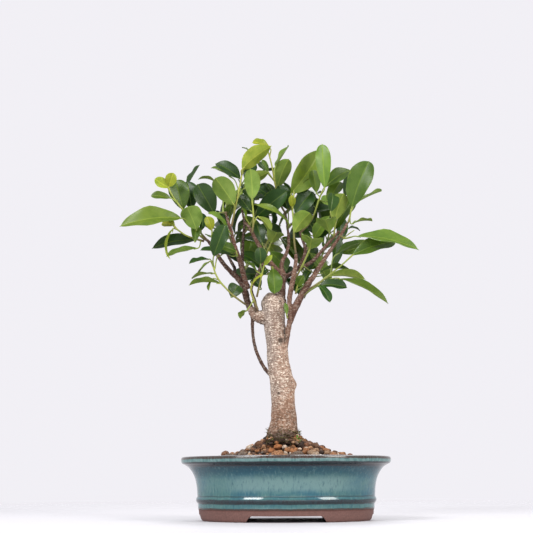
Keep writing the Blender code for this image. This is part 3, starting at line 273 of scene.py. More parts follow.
INNER_TURN = 2.6
INNER_ROLL = (10.0, 130.0)
INNER_BOW = (2.0, 5.0)
# Mostly dark tones: painted shade inside the crown.
INNER_TONES = ("mature", "dark", "dark", "light")
INNER_FIRST_LEAF = 0.3
STEM_RISE = 0.12

# Places (x, z) that further leaves of the nearest inner shoots cover, so that the crown closes.
FILLED = ((52, 285), (58, 309), (68, 332), (12, 288), (-42, 264), (7, 246), (81, 289), (40, 269))
FILL_SEED = 4
FILL_SHOOTS = 5
FILL_DEPTH = 26.0
FILL_DRIFT = 3.0
FILL_TURN = 1.1
FILL_PITCH = 12.0
FILL_STALK = 34.0
FILL_ROLL = (5.0, 60.0)
FILL_STRAIGHT = 0.25
DIVERGENCE = math.radians(137.5)
CROWN_MIDDLE = (-8.0, 316.0)
CROWN_HALF = (74.0, 60.0)

# Larger stones lying on the soil: (x, y, half length, half height, turn).
PEBBLES = (
    (-42, -58, 6.6, 4.6, 10), (-26, -64, 5.4, 4.0, 80), (-9, -58, 6.2, 4.4, 150), (12, -62, 6.4, 4.6, 35),
    (30, -58, 5.6, 4.2, 110), (48, -52, 6.2, 4.4, 65), (66, -40, 5.2, 3.8, 20), (-58, -40, 5.6, 4.0, 130),
    (-40, 38, 6.0, 4.2, 50), (34, 40, 6.4, 4.4, 95), (60, 22, 5.4, 4.0, 160), (-64, 8, 5.8, 4.2, 75),
)

# Pot and soil.
POT_DEPTH_RATIO = 0.78
POT_FLOOR_TOP = 14.0
FOOT_BOTTOM = 1.3
FOOT_GAP_TOP = 7.6
CUT_DEPTH = 5.0
FOOT_GAP_FRONT = (88.0, 72.0)
FOOT_GAP_SIDE = (40.0, 30.0)
DRAIN_HOLE_RADIUS = 8.0
DRAIN_HOLE_OFFSET = 38.0
SOIL_EDGE_HEIGHT = 60.0
SOIL_CROWN_HEIGHT = 80.0
SOIL_MOUND_HALF_WIDTH = 90.0
STONE_FLATNESS = 0.8
MOSS_MIDDLE = (-4.0, -24.0)
MOSS_HALF_SIZE = (17.0, 8.0, 4.5)

# The floor fades out between these distances from the pot, in metres.
FLOOR_FADE = (0.3, 1.15)

# The studio: the backdrop's colour, and lights as (name, spot, aim, size, watts, colour), in metres.
BACKDROP = (0.885, 0.87, 0.915)
LIGHTS = (
    ("key", (-0.75, -0.95, 1.05), (0, 0, 0.2), (0.5, 0.5), 16.0, (1.0, 1.0, 1.0)),
    ("fill", (0.95, -0.8, 0.8), (0, 0, 0.2), (0.45, 0.6), 11.0, (1.0, 0.97, 0.93)),
    ("back", (0.2, 1.1, 1.3), (0, 0, 0.25), (0.9, 0.6), 9.0, (1.0, 1.0, 1.0)),
    ("front_strip", (0.0, -1.24, 0.05), (0, 0, 0.045), (2.7, 0.09), 3.2, (1.0, 1.0, 1.0)),
)
# The camera looks up by the pitch, and its picture is this wide and lies this far from the eye; the pot's
# middle is to the right of the picture's middle by the shift.
CAMERA_PITCH = 11.082
CAMERA_ROLL = 0.25
PICTURE_WIDTH = 533
PICTURE_DISTANCE = 1077.26
PICTURE_SHIFT = 18.2
SENSOR_WIDTH = 36.0

# Finer sizes of the visual model, in millimetres.
BLADE_ALONG = (0.02, 0.06, 0.12, 0.2, 0.29, 0.38, 0.48, 0.58, 0.67, 0.75, 0.82, 0.875, 0.915, 0.945, 0.965,
               0.98, 0.99)
BLADE_ACROSS = (-1.0, -0.82, -0.58, -0.32, -0.09, 0.0, 0.09, 0.32, 0.58, 0.82, 1.0)
LEAF_SEED = 31
BLADE_NARROWEST = 0.35
BLADE_EDGE = 0.14
BLADE_MIDDLE = 0.5
BLADE_RIB = 0.45
STALK_RADIUS = 0.72
STALK_STEP = 1.6
STEM_SIDES = 10
STEM_RADII = (1.15, 0.75)
BUD_LENGTH = (4.0, 7.5)
BUD_ALONG = (0.0, 0.15, 0.35, 0.6, 0.85, 1.0)
BUD_RADII = (0.7, 0.85, 0.8, 0.55, 0.3, 0.08)
WOOD_VOXEL = 0.8
WOOD_SMOOTHING = 3
LIMB_THINNING = 0.86
# How clearly the pale lenticels show, from 0 to 1.
LENTICELS_ON_LIMBS = 0.22
LENTICELS_ON_JOINT = 0.8
POT_STEPS = 160
POT_INNER_AT_SOIL = 97.5
SOIL_RINGS = 44
SOIL_TURNS = 128
POT_OUTER = (
    (103.2, 66.5), (105.6, 66.6), (107.6, 66.35), (109.2, 65.7), (109.95, 64.4), (110.0, 62.6), (109.5, 60.6),
    (108.3, 59.2), (106.6, 58.4), (104.6, 57.3), (101.0, 54.6), (97.1, 48.7), (94.8, 43.0), (93.4, 36.0),
    (92.8, 29.0), (92.7, 26.2), (93.2, 25.0), (93.95, 23.2), (93.85, 21.3), (92.9, 19.8), (92.1, 18.7),
    (91.85, 16.2), (91.8, 13.6), (91.1, 12.6), (90.8, 10.0), (90.4, 5.6), (89.7, 3.2), (88.4, 1.7),
    (86.6, 1.3),
)
POT_INNER = (
    (80.0, 1.3), (79.2, 2.3), (79.0, 8.0), (0.0, 8.0), (0.0, 14.0), (78.0, 14.0), (86.5, 20.0), (86.9, 36.0),
    (91.1, 50.0), (97.6, 57.5), (99.2, 60.5), (99.6, 64.2), (100.2, 65.6), (101.4, 66.3),
)
ROOTS = ((-160, 17, 4.6), (-118, 15, 4.0), (-75, 16, 4.4), (-28, 17, 4.8), (18, 15, 4.0), (62, 17, 4.4),
         (108, 15, 4.2), (152, 17, 4.6))
# Knots on the trunk's front: (x, z, size, height of the ring, depth of the hollow).
KNOTS = ((-4.5, 188.0, 3.4, 0.7, 1.1), (-9.0, 238.5, 2.2, 0.5, 2.6), (-5.5, 230.0, 1.3, 0.2, 1.4),
         (-7.0, 132.0, 1.6, 0.3, 0.5))
KNOTS_IN_FRONT_OF = 2.0
# The slit between the trunk and the right-hand limb: (z, x).
GROOVE = ((182.0, -1.2), (196.0, 0.2), (210.0, 1.6), (222.0, 2.0), (234.0, 1.2))

# Colours, linear.
# The trunk's bark, greyer and darker on its left and lighter and warmer on its right: painted light from the
# right.
BARK_SHADED_LEFT = (0.35, 0.285, 0.25)
BARK_LIT_RIGHT = (0.42, 0.285, 0.215)
BARK_LOW = (0.25, 0.145, 0.095)
LENTICEL = (0.86, 0.73, 0.6)
# The limbs at the back of the crown are very dark: partly their own darker bark, partly painted shade.
LIMB_TINTS = {
    "left_joint": (0.3, 0.21, 0.165), "left_main": (0.1, 0.05, 0.036), "left_inner": (0.14, 0.07, 0.048),
    "left_upright": (0.06, 0.032, 0.022), "left_second": (0.05, 0.028, 0.02),
    "left_side_shoot": (0.075, 0.04, 0.028), "joint_twig": (0.11, 0.07, 0.04), "top_main": (0.16, 0.085, 0.06),
    "top_left": (0.15, 0.08, 0.055), "top_right": (0.1, 0.053, 0.038), "right_front": (0.2, 0.115, 0.082),
    "right_outer": (0.15, 0.078, 0.055), "right_inner": (0.13, 0.068, 0.048), "back_left": (0.05, 0.03, 0.02),
    "back_right": (0.05, 0.03, 0.02), "back_top": (0.05, 0.03, 0.02),
}
YOUNG_SHOOTS = ("shoot_left_top", "shoot_left_far", "shoot_left_wide", "shoot_joint_bright",
                "shoot_left_bright", "shoot_right_far", "shoot_left_middle_front", "shoot_right_low_front",
                "shoot_top_centre")
# Upper face, underside and stalk of each tone of leaf. Young leaves are yellow-green; the light and dark tones
# are partly leaves of other ages and partly lit and shaded copies of the mature leaf: painted light and
# painted shade, set leaf by leaf.
TONES = {
    "young": ((0.28, 0.33, 0.022), (0.31, 0.345, 0.038), (0.27, 0.3, 0.05)),
    "light": ((0.152, 0.238, 0.022), (0.202, 0.278, 0.048), (0.24, 0.29, 0.05)),
    "mature": ((0.084, 0.148, 0.01), (0.148, 0.216, 0.034), (0.21, 0.26, 0.04)),
    "dark": ((0.02, 0.062, 0.004), (0.065, 0.118, 0.016), (0.16, 0.21, 0.035)),
}
STEM_OLD = (0.13, 0.085, 0.045)
BUD_TINT = (0.27, 0.3, 0.06)
GLAZE_BLUE = (0.012, 0.086, 0.122)
GLAZE_GREEN = (0.045, 0.128, 0.126)
# Deep blue of thick glaze in the streaks, also painted over the upper belly as a dark reflection.
GLAZE_DEEP_AND_DARK_REFLECTION = (0.004, 0.048, 0.075)
# Pale glaze of the lip and the streaks, also painted across the belly as a pale reflection.
GLAZE_PALE_AND_REFLECTION = (0.118, 0.208, 0.204)
# Painted shade just under the lip.
PAINTED_SHADE_UNDER_LIP = (0.01, 0.016, 0.022)
RIM_BROWN = (0.034, 0.014, 0.008)
# Near-black painted shade under the lip, in the crease above the bead and under the bead.
PAINTED_SHADE_DARK = (0.01, 0.009, 0.014)
# Heights at which the glaze breaks to brown, and of the bands of painted shade: (middle, half height of the
# band, depth, colour), in metres.
GLAZE_BREAKS_AND_SHADE = (
    (0.0639, 0.0024, 1.0, RIM_BROWN), (0.0571, 0.0028, 1.0, PAINTED_SHADE_DARK), (0.0249, 0.0009, 0.55, PAINTED_SHADE_DARK),
    (0.0196, 0.0031, 0.95, PAINTED_SHADE_DARK), (0.0124, 0.0013, 0.95, RIM_BROWN),
)
GLAZE_END = 0.0119
RIM_PALE = (0.27, 0.27, 0.31)
RIM_DARK = (0.14, 0.14, 0.165)
CLAY_PALE = (0.15, 0.07, 0.056)
CLAY_DARK = (0.098, 0.045, 0.037)
CLAY_RED = (0.085, 0.026, 0.017)
GRAVEL_TINTS = ((0.15, 0.07, 0.035), (0.3, 0.135, 0.052), (0.38, 0.23, 0.13), (0.66, 0.55, 0.44),
                (0.045, 0.026, 0.018), (0.19, 0.145, 0.115))
GRAVEL_SHARES = (32, 17, 15, 9, 15, 12)
STONE_TINTS = ((0.17, 0.13, 0.1), (0.24, 0.11, 0.05), (0.34, 0.17, 0.08), (0.16, 0.12, 0.09),
               (0.42, 0.33, 0.24), (0.3, 0.14, 0.06), (0.2, 0.09, 0.045), (0.15, 0.115, 0.09),
               (0.24, 0.11, 0.05), (0.17, 0.12, 0.09), (0.34, 0.17, 0.08), (0.2, 0.1, 0.055))
# Gravel: (tries, smallest and largest radius, spacing as a share of the two radii).
GRAVEL_PASSES = ((260, 3.4, 4.6, 0.9), (1500, 2.2, 3.4, 0.84), (5200, 1.1, 2.1, 0.76))
STONE_SEED = 5
GRAVEL_SEED = 23
GRAVEL_HALF = (94.0, 72.5)
GRAVEL_SHAPE = ((0.9, 1.2), (0.8, 1.05), (0.7, 0.95))
TRUNK_FOOT = (-2.6, 15.0)
# Right of this x the gravel is fine.
FINE_FROM = 52.0
HEAP_SHAPE = ((0.9, 1.3), (0.8, 1.05), (0.65, 0.95))
# Stones heaped against the trunk's foot: (number, nearest and furthest from its middle, lift beside it).
HEAP = (210, 17.0, 33.0, 9.0)
MOSS_TINTS = ((0.045, 0.026, 0.015), (0.1, 0.06, 0.028), (0.2, 0.2, 0.045), (0.11, 0.12, 0.03))
MOSS_SEED = 8
CUSHION_TUFTS = 420
FOOT_TUFTS = 1100
# The weed: where it grows, then its leaves, (x, y, z, half width) from there.
WEED_FOOT = (11.5, -17.5, 80.0)
WEED = ((1.5, -1.0, 3.6, 1.5), (3.4, 0.2, 4.4, 1.4), (-1.6, -0.8, 3.0, 1.3), (0.4, 0.6, 5.6, 1.2),
        (4.6, -1.2, 2.6, 1.2))
WEED_TINT = (0.09, 0.26, 0.03)


# Tables -----------------------------------------------------------------------------------------------------


def numbers(text):
    return tuple(float(word) for word in text.split())


def table_rows(text):
    """The lines of a table as (name, points), or as (None, words) where a line has no name."""
    for line in text.strip().replace("\n  ", " ").splitlines():
        name, colon, points = line.partition(":")
        yield (name, tuple(numbers(point) for point in points.split(","))) if colon else (None, line.split())


def read_shoots(text):
    made = {}
    for name, row in table_rows(text):
        if name:
            leaves = []
            made["shoot_" + name] = (row, leaves)
        else:
            place, *rest = (float(word) for word in row[:-1])
            leaves.append((place, tuple(rest[:3]), tuple(rest[3:6]), *rest[6:], row[-1]))
    return made


# Tree geometry, as in the CAD model -----------------------------------------------------------------------


def sight(x, z, depth):
    spread = 1.0 + depth / EYE_DISTANCE
    return Vector((x * spread, depth, EYE_HEIGHT + (z - EYE_HEIGHT) * spread))


def smooth_path(points, steps):
    """Catmull-Rom points through rows of numbers, with steps spans between each pair."""
    rows = np.array(points, dtype=float)
    padded = np.vstack((2 * rows[0] - rows[1], rows, 2 * rows[-1] - rows[-2]))
    path = [rows[0]]
    for i in range(len(rows) - 1):
        a, b, c, d = padded[i:i + 4]
        for step in range(1, steps + 1):
            t = step / steps
            path.append(0.5 * (2 * b + (c - a) * t + (2 * a - 5 * b + 4 * c - d) * t ** 2
                               + (3 * b - a - 3 * c + d) * t ** 3))
    return path


def along(path, share):
    """The point at a share of the number of spans of a path, as a Vector."""
    place = share * (len(path) - 1)
    i = min(int(place), len(path) - 2)
    start, end = Vector(path[i][:3]), Vector(path[i + 1][:3])
    return start.lerp(end, place - i)


def leaf_frame(base, tip, roll):
    """Lengthwise, sideways and upper-face directions of a leaf."""
    length = (tip - base).normalized()
    to_eye = (Vector((0, -EYE_DISTANCE, EYE_HEIGHT)) - base).normalized()
    facing = (to_eye - length * to_eye.dot(length)).normalized()
    upward = facing.cross(length)
    if upward.z < 0 or (abs(upward.z) < 0.2 and upward.x < 0):
        upward.negate()
    angle = math.radians(roll)
    upper = facing * math.cos(angle) + upward * math.sin(angle)
    return length, length.cross(upper), upper


def leaf_outline(t, bow):
    """Half width at a share t of the length, as a share of half the leaf's width; pointed when bowed."""
    if not 0 < t < 1:
        return 0.0
    if bow >= POINTED_BOW:
        return math.sin(math.pi * t) ** 0.72 * (0.94 + 0.12 * t)
    return t ** 0.72 * (1 - t) ** 0.46 / 0.459


def leaf_point(leaf, t, across, shift=0.0):
    """A point on a leaf's blade: t from base to tip, across from -1 to 1."""
    _, base, tip, width, roll, bow, _ = leaf
    start = sight(base[0], base[1], base[2] + shift)
    end = sight(tip[0], tip[1], tip[2] + shift)
    _, side, upper = leaf_frame(start, end, roll)
    half = max(width / 2 * leaf_outline(t, bow), LEAF_NARROWEST)
    rise = bow * 4 * t * (1 - t) + abs(across) * half * LEAF_FOLD * 2
    return start.lerp(end, t) + side * (across * half) + upper * rise


def leaf_samples(leaf, shift):
    """Points spread over a leaf's blade, row by row from its base."""
    return np.array([leaf_point(leaf, t, across, shift) for t in LEAF_ALONG for across in LEAF_ACROSS])


def petiole_samples(leaf, stem, shift):
    """Points along the stalk, leaving out the stretch that lies in the stem."""
    start, base = along(stem, leaf[0]), leaf_point(leaf, 0.0, 0.0, shift)
    rows = [start.lerp(base, t) for t in STALK_ALONG]
    return np.array([row for row in rows if (row - start).length > STALK_IN_STEM] or [base])


class Crown:
    """What the leaves already placed take up, so that the next ones keep clear of it."""

    def __init__(self, wood):
        self.wood = wood
        self.points = {}

    def clear(self, samples, own):
        for shoot, rows in self.points.items():
            if shoot == own:
                continue
            for block in rows:
                low, high = block.min(axis=0) - LEAF_CLEARANCE, block.max(axis=0) + LEAF_CLEARANCE
                near = samples[((samples > low) & (samples < high)).all(axis=1)]
                if len(near):
                    gaps = np.linalg.norm(near[:, None, :] - block[None, :, :], axis=2)
                    if gaps.min() < LEAF_CLEARANCE:
                        return False
        return True

    def clear_of_wood(self, samples):
        gaps = np.linalg.norm(samples[:, None, :] - self.wood[None, :, :3], axis=2)
        return (gaps - self.wood[None, :, 3]).min() > WOOD_CLEARANCE

    def add(self, shoot, samples):
        self.points.setdefault(shoot, []).append(samples)


def limb_rows():
    """Every limb and the trunk as smooth rows of x, y, z, radius."""
    made = {"trunk": smooth_path([(x, TRUNK_DEPTH, z, radius) for z, x, radius in TRUNK], 1)}
    for name, points in table_rows(LIMBS):
        rows = [(*sight(x, z, depth), radius) for x, z, depth, radius in points]
        made[name] = smooth_path(rows, LIMB_STEPS)
    return made


def wood_samples(limbs):
    rows = []
    for path in limbs.values():
        rows += smooth_path(path, 2)
    return np.array(rows)


def settle(crown, shoot, leaf, stem):
    """How far back a leaf moves along its line of sight to clear what is there."""
    for shift in DEPTH_STEPS:
        blade = leaf_samples(leaf, shift)
        stalk = petiole_samples(leaf, stem, shift)
        free = crown.clear_of_wood(blade[2 * len(LEAF_ACROSS):])
        if free and crown.clear(blade, shoot) and crown.clear(stalk, shoot):
            crown.add(shoot, blade)
            crown.add(shoot, stalk)
            return shift
    crown.add(shoot, leaf_samples(leaf, 0))
    return 0


def front_shoots(crown):
    made = {}
    for name, (stem, leaves) in read_shoots(SHOOTS).items():
        path = smooth_path([sight(*point) for point in stem], STEM_STEPS)
        crown.add(name, np.array(smooth_path(path, 2)))
        made[name] = (path, leaves)
    for name, (path, leaves) in made.items():
        made[name] = (path, [(leaf, settle(crown, name, leaf, path)) for leaf in leaves])
    return made


def elevation(point):
    """The (x, z, depth) of the front elevation for a point in space."""
    spread = 1.0 + point.y / EYE_DISTANCE
    return (point.x / spread, EYE_HEIGHT + (point.z - EYE_HEIGHT) / spread, point.y)


def in_crown(spot):
    x, z, _ = spot
    return math.hypot((x - CROWN_MIDDLE[0]) / CROWN_HALF[0], (z - CROWN_MIDDLE[1]) / CROWN_HALF[1]) < 1.0


def random_leaf(rng, path, heading, side, share, turn, terminal):
    """A leaf growing out of a stem at a share of its length, turned about the stem."""
    out = Matrix.Rotation(turn + rng.uniform(-INNER_TURN, INNER_TURN), 3, heading) @ side
    lean = rng.uniform(*(INNER_END_LEAN if terminal else INNER_LEAN))
    way = (out + heading * lean + Vector((0, 0, rng.uniform(*INNER_LIFT)))).normalized()
    length = rng.uniform(*INNER_LEAF_LENGTH)
    base = along(path, share) + way * rng.uniform(*INNER_STALK)
    width = length * rng.uniform(*INNER_LEAF_SHAPE)
    tone = rng.choice(INNER_TONES)
    return (share, elevation(base), elevation(base + way * length), width, rng.uniform(*INNER_ROLL),
            rng.uniform(*INNER_BOW), tone)


def inner_shoots(crown):
    rng = random.Random(INNER_SEED)
    made = {}
    for name, (start, direction, length, count) in INNER_SHOOTS.items():
        root = sight(*start)
        heading = Vector(direction).normalized()
        lift = Vector((0, 0, STEM_RISE * length))
        path = smooth_path([root, root + heading * length * 0.5, root + heading * length + lift], STEM_STEPS)
        crown.add(name, np.array(smooth_path(path, 2)))
        leaves = []
        side = heading.orthogonal().normalized()
        for i in range(count):
            share = INNER_FIRST_LEAF + (1.0 - INNER_FIRST_LEAF) * i / (count - 1)
            for _ in range(INNER_TRIES):
                leaf = random_leaf(rng, path, heading, side, share, i * DIVERGENCE, i == count - 1)
                blade = leaf_samples(leaf, 0.0)
                stalk = petiole_samples(leaf, path, 0.0)
                fits = in_crown(leaf[1]) and in_crown(leaf[2]) and crown.clear_of_wood(blade)
                if fits and crown.clear(blade, "") and crown.clear(stalk, name):
                    crown.add(name, blade)
                    crown.add(name, stalk)
                    leaves.append((leaf, 0.0))
                    break
        made[name] = (path, leaves)
    fill_crown(crown, made)
    return made


def covering_leaf(rng, path, x, z):
    """A leaf out of a stem whose middle lies at (x, z) in the front elevation."""
    share = rng.uniform(INNER_FIRST_LEAF, 1.0)
    stem = elevation(along(path, share))
    depth = stem[2] + rng.uniform(-FILL_DEPTH, FILL_DEPTH)
    way = math.atan2(z - stem[1], x - stem[0]) + rng.uniform(-FILL_TURN, FILL_TURN)
    length = rng.uniform(*INNER_LEAF_LENGTH)
    reach_x, reach_z = math.cos(way) * length / 2, math.sin(way) * length / 2
    x, z = x + rng.uniform(-FILL_DRIFT, FILL_DRIFT), z + rng.uniform(-FILL_DRIFT, FILL_DRIFT)
    tip = (x + reach_x, z + reach_z, depth + rng.uniform(-FILL_PITCH, FILL_PITCH))
    return (share, (x - reach_x, z - reach_z, depth), tip, length * rng.uniform(*INNER_LEAF_SHAPE),
            rng.uniform(*FILL_ROLL), rng.uniform(*INNER_BOW), rng.choice(INNER_TONES))


def stem_distance(path, x, z):
    """How far a stem passes from a place in the front elevation."""
    spots = [elevation(Vector(row)) for row in path]
    return min(math.hypot(x - spot[0], z - spot[1]) for spot in spots)


def fill_crown(crown, made):
    """Give the inner shoots further leaves where the crown would let light through."""
    rng = random.Random(FILL_SEED)
    for x, z in FILLED:
        near = sorted(made, key=lambda name: stem_distance(made[name][0], x, z))[:FILL_SHOOTS]
        for attempt in range(INNER_TRIES):
            name = near[attempt % FILL_SHOOTS]
            path, leaves = made[name]
            leaf = covering_leaf(rng, path, x, z)
            start, base, tip = along(path, leaf[0]), leaf_point(leaf, 0.0, 0.0), leaf_point(leaf, 1.0, 0.0)
            straight = (base - start).normalized().dot((tip - base).normalized())
            if straight < FILL_STRAIGHT or not STALK_IN_STEM < (base - start).length < FILL_STALK:
                continue
            blade, stalk = leaf_samples(leaf, 0.0), petiole_samples(leaf, path, 0.0)
            free = crown.clear_of_wood(blade) and crown.clear_of_wood(stalk)
            if free and crown.clear(blade, "") and crown.clear(stalk, name):
                crown.add(name, blade)
                crown.add(name, stalk)
                leaves.append((leaf, 0.0))
                break


# Helpers ---------------------------------------------------------------------------------------------------

POT_LOW, POT_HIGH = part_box("pot")
ROOT = Vector(((POT_LOW.x + POT_HIGH.x) / 2, (POT_LOW.y + POT_HIGH.y) / 2, -FOOT_BOTTOM * MM))


def to_world(rows):
    """Millimetres round the pot's middle to metres in the row's frame."""
    return np.asarray(rows, dtype=float).reshape(-1, 3) * MM + np.array(ROOT)


def give(made, slot, *nodes):
    """Every piece rides on the one body and stands for its CAD nodes, which are hidden. The slot is not used.
    """
    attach(made, "root")
    if nodes:
        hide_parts(*nodes)
    return made


def new_object(name, mesh, *looks):
    made = bpy.data.objects.new(name, mesh)
    bpy.context.scene.collection.objects.link(made)
    for look in looks:
        mesh.materials.append(look)
    return made


def mesh_of(name, bm):
    made = bpy.data.meshes.new(name)
    bm.to_mesh(made)
    bm.free()
    return made


def applied(made):
    """The mesh of an object with its modifiers applied. The object is removed."""
    bpy.context.view_layer.update()
    graph = bpy.context.evaluated_depsgraph_get()
    mesh = bpy.data.meshes.new_from_object(made.evaluated_get(graph))
    mesh.transform(made.matrix_world)
    bpy.data.objects.remove(made)
    return mesh


def point_attribute(mesh, name, kind, rows):
    rows = np.asarray(rows, dtype=np.float32)
    made = mesh.attributes.new(name, kind, "POINT")
    if kind == "FLOAT_COLOR":
        rows = np.hstack((rows, np.ones((len(rows), 1), dtype=np.float32)))
        made.data.foreach_set("color", rows.ravel())
    elif kind == "FLOAT_VECTOR":
        made.data.foreach_set("vector", rows.ravel())
    else:
        made.data.foreach_set("value", rows.ravel())


class Surface:
    """Vertices, faces and per-vertex values collected for one mesh, in millimetres."""

    def __init__(self):
        self.spots, self.faces, self.slots, self.tints, self.marks = [], [], [], [], []

    def add(self, spots, faces, slot, tint, marks=None):
        first = len(self.spots)
        self.spots.extend(tuple(spot) for spot in spots)
        if isinstance(slot, int):
            slot = [slot] * len(faces)
        self.faces.extend(tuple(first + i for i in face) for face in faces)
        self.slots.extend(slot)
        if np.ndim(tint) == 1:
            tint = [tint] * len(spots)
        self.tints.extend(tuple(row) for row in tint)
        self.marks.extend([(0.0, 0.0, 0.0)] * len(spots) if marks is None else marks)

    def mesh(self, name, sharp=50):
        made = bpy.data.meshes.new(name)
        made.from_pydata([tuple(row) for row in to_world(self.spots)], [], self.faces)
        made.polygons.foreach_set("material_index", self.slots)
        point_attribute(made, "tint", "FLOAT_COLOR", self.tints)
        point_attribute(made, "marks", "FLOAT_VECTOR", self.marks)
        made.shade_smooth()
        made.set_sharp_from_angle(angle=math.radians(sharp))
        made.validate()
        return made


def tube(points, radii, sides):
    """A closed tube's vertices and faces, with frames carried along the points without twist."""
    points = [Vector(point[:3]) for point in points]
    last = len(points) - 1
    ways = [(points[min(i + 1, last)] - points[max(i - 1, 0)]).normalized() for i in range(last + 1)]
    across = ways[0].orthogonal().normalized()
    spots, faces = [], []
    for i, (point, way, radius) in enumerate(zip(points, ways, radii)):
        if i:
            across = (ways[i - 1].rotation_difference(way) @ across).normalized()
        other = way.cross(across)
        for k in range(sides):
            angle = 2 * math.pi * k / sides
            spots.append(point + (across * math.cos(angle) + other * math.sin(angle)) * radius)
    for i in range(last):
        for k in range(sides):
            a, b = i * sides + k, i * sides + (k + 1) % sides
            faces.append((a, b, b + sides, a + sides))
    faces.append(tuple(reversed(range(sides))))
    faces.append(tuple(last * sides + k for k in range(sides)))
    return spots, faces


# Materials -------------------------------------------------------------------------------------------------


class Look:
    """A node material round one Principled shader."""

    def __init__(self, name, **sockets):
        self.material = bpy.data.materials.new(name)
        self.material.use_nodes = True
        self.tree = self.material.node_tree
        self.shader = self.tree.nodes["Principled BSDF"]
        for key, value in sockets.items():
            self.shader.inputs[key.replace("_", " ")].default_value = value

    def node(self, kind, inputs=None, **settings):
        made = self.tree.nodes.new("ShaderNode" + kind)
        for key, value in settings.items():
            setattr(made, key, value)
        for key, value in (inputs or {}).items():
            if isinstance(value, bpy.types.NodeSocket):
                self.tree.links.new(value, made.inputs[key])
            else:
                made.inputs[key].default_value = value
        return made

    def place(self, scale=(1.0, 1.0, 1.0), shift=(0.0, 0.0, 0.0)):
        coordinates = self.node("TexCoord").outputs["Object"]
        return self.node("Mapping", {"Vector": coordinates, "Scale": scale, "Location": shift}).outputs[0]

    def height(self):
        coordinates = self.node("TexCoord").outputs["Object"]
        return self.node("SeparateXYZ", {0: coordinates}).outputs[2]

    def noise(self, vector, scale, detail=3.0, roughness=0.5):
        inputs = {"Vector": vector, "Scale": scale, "Detail": detail, "Roughness": roughness}
        return self.node("TexNoise", inputs).outputs[0]

    def math(self, operation, a, b=0.0):
        return self.node("Math", {0: a, 1: b}, operation=operation).outputs[0]

    def times(self, a, b):
        return self.math("MULTIPLY", a, b)

    def plus(self, a, b):
        return self.math("ADD", a, b)

    def minus(self, a, b):
        return self.math("SUBTRACT", a, b)

    def step(self, value, low, high, out_low=0.0, out_high=1.0):
        return self.node("MapRange", {"Value": value, "From Min": low, "From Max": high, "To Min": out_low,
                                      "To Max": out_high}, interpolation_type="SMOOTHSTEP").outputs[0]

    def mix(self, share, a, b, blend="MIX"):
        made = self.node("Mix", {0: share}, data_type="RGBA", blend_type=blend)
        for socket, value in ((made.inputs[6], a), (made.inputs[7], b)):
            if isinstance(value, bpy.types.NodeSocket):
                self.tree.links.new(value, socket)
            else:
                socket.default_value = (*value, 1.0)
        return made.outputs[2]

    def tinted(self, colour, factors):
        return self.mix(1.0, colour, factors, "MULTIPLY")

    def attribute(self, name, output="Color"):
        return self.node("Attribute", attribute_name=name).outputs[output]

    def bump(self, height, strength, distance, normal=None):
        inputs = {"Height": height, "Strength": strength, "Distance": distance}
        if normal is not None:
            inputs["Normal"] = normal
        return self.node("Bump", inputs).outputs[0]

    def link(self, value, socket):
        self.tree.links.new(value, self.shader.inputs[socket])

    def thin(self, colour, share, normal=None):
        """Let a share of the light from behind through."""
        inputs = {"Color": colour}
        if normal is not None:
            inputs["Normal"] = normal
        through = self.node("BsdfTranslucent", inputs)
        both = self.node("MixShader", {0: share})
        self.tree.links.new(self.shader.outputs[0], both.inputs[1])
        self.tree.links.new(through.outputs[0], both.inputs[2])
        output = next(n for n in self.tree.nodes if n.bl_idname == "ShaderNodeOutputMaterial")
        self.tree.links.new(both.outputs[0], output.inputs["Surface"])


def leaf_look(name, underside):
    """marks holds millimetres across from the midrib, millimetres along, and the half width there."""
    made = Look(name, Roughness=0.62 if underside else 0.4, Specular_IOR_Level=0.22 if underside else 0.32)
    marks = made.node("SeparateXYZ", {0: made.attribute("marks", "Vector")})
    across = made.math("ABSOLUTE", marks.outputs[0])
    along, half = marks.outputs[1], marks.outputs[2]
    tint = made.attribute("tint_under" if underside else "tint")
    patch = made.noise(made.place(), 90.0, 3.0, 0.55)
    blotch = made.mix(made.step(patch, 0.35, 0.7), tint, made.tinted(tint, (0.66, 0.76, 0.6)))
    # Side veins leave the midrib at a slant, 2.4 mm apart.
    slant = made.minus(along, made.times(across, 0.62))
    wave = made.math("PINGPONG", made.plus(slant, made.times(patch, 1.2)), 1.2)
    vein = made.step(wave, 0.0, 0.28, 1.0, 0.0)
    rib = made.step(across, 0.25, 0.75, 1.0, 0.0)
    pale = made.tinted(tint, (1.4, 1.32, 1.2) if underside else (1.7, 1.5, 1.5))
    pale = made.mix(0.3, pale, (0.28, 0.33, 0.06) if underside else (0.22, 0.28, 0.04))
    colour = made.mix(made.times(vein, 0.22 if underside else 0.14), blotch, pale)
    colour = made.mix(made.times(rib, 0.8 if underside else 0.65), colour, pale)
    edge = made.step(made.minus(half, across), 0.0, 0.55, 1.0, 0.0)
    colour = made.mix(made.times(edge, 0.45), colour, pale)
    made.link(colour, "Base Color")
    relief = made.minus(made.times(wave, 0.5), made.times(rib, 0.8))
    if underside:
        relief = made.times(relief, -1.0)
    relief = made.plus(relief, made.times(made.noise(made.place(), 1600.0, 2.0), 0.2))
    bump = made.bump(relief, 0.55, 0.00016)
    made.link(bump, "Normal")
    if not underside:
        made.shader.inputs["Coat Weight"].default_value = 0.1
        made.shader.inputs["Coat Roughness"].default_value = 0.25
    made.thin(made.tinted(colour, (1.25, 1.35, 0.7)), 0.24, bump)
    return made.material


def stem_look():
    made = Look("green_stem", Roughness=0.5, Specular_IOR_Level=0.4)
    tint = made.attribute("tint")
    fleck = made.noise(made.place(), 900.0, 3.0, 0.6)
    made.link(made.mix(made.step(fleck, 0.5, 0.72), tint, made.tinted(tint, (1.35, 1.25, 1.1))),
              "Base Color")
    made.link(made.bump(fleck, 0.4, 0.0002), "Normal")
    return made.material


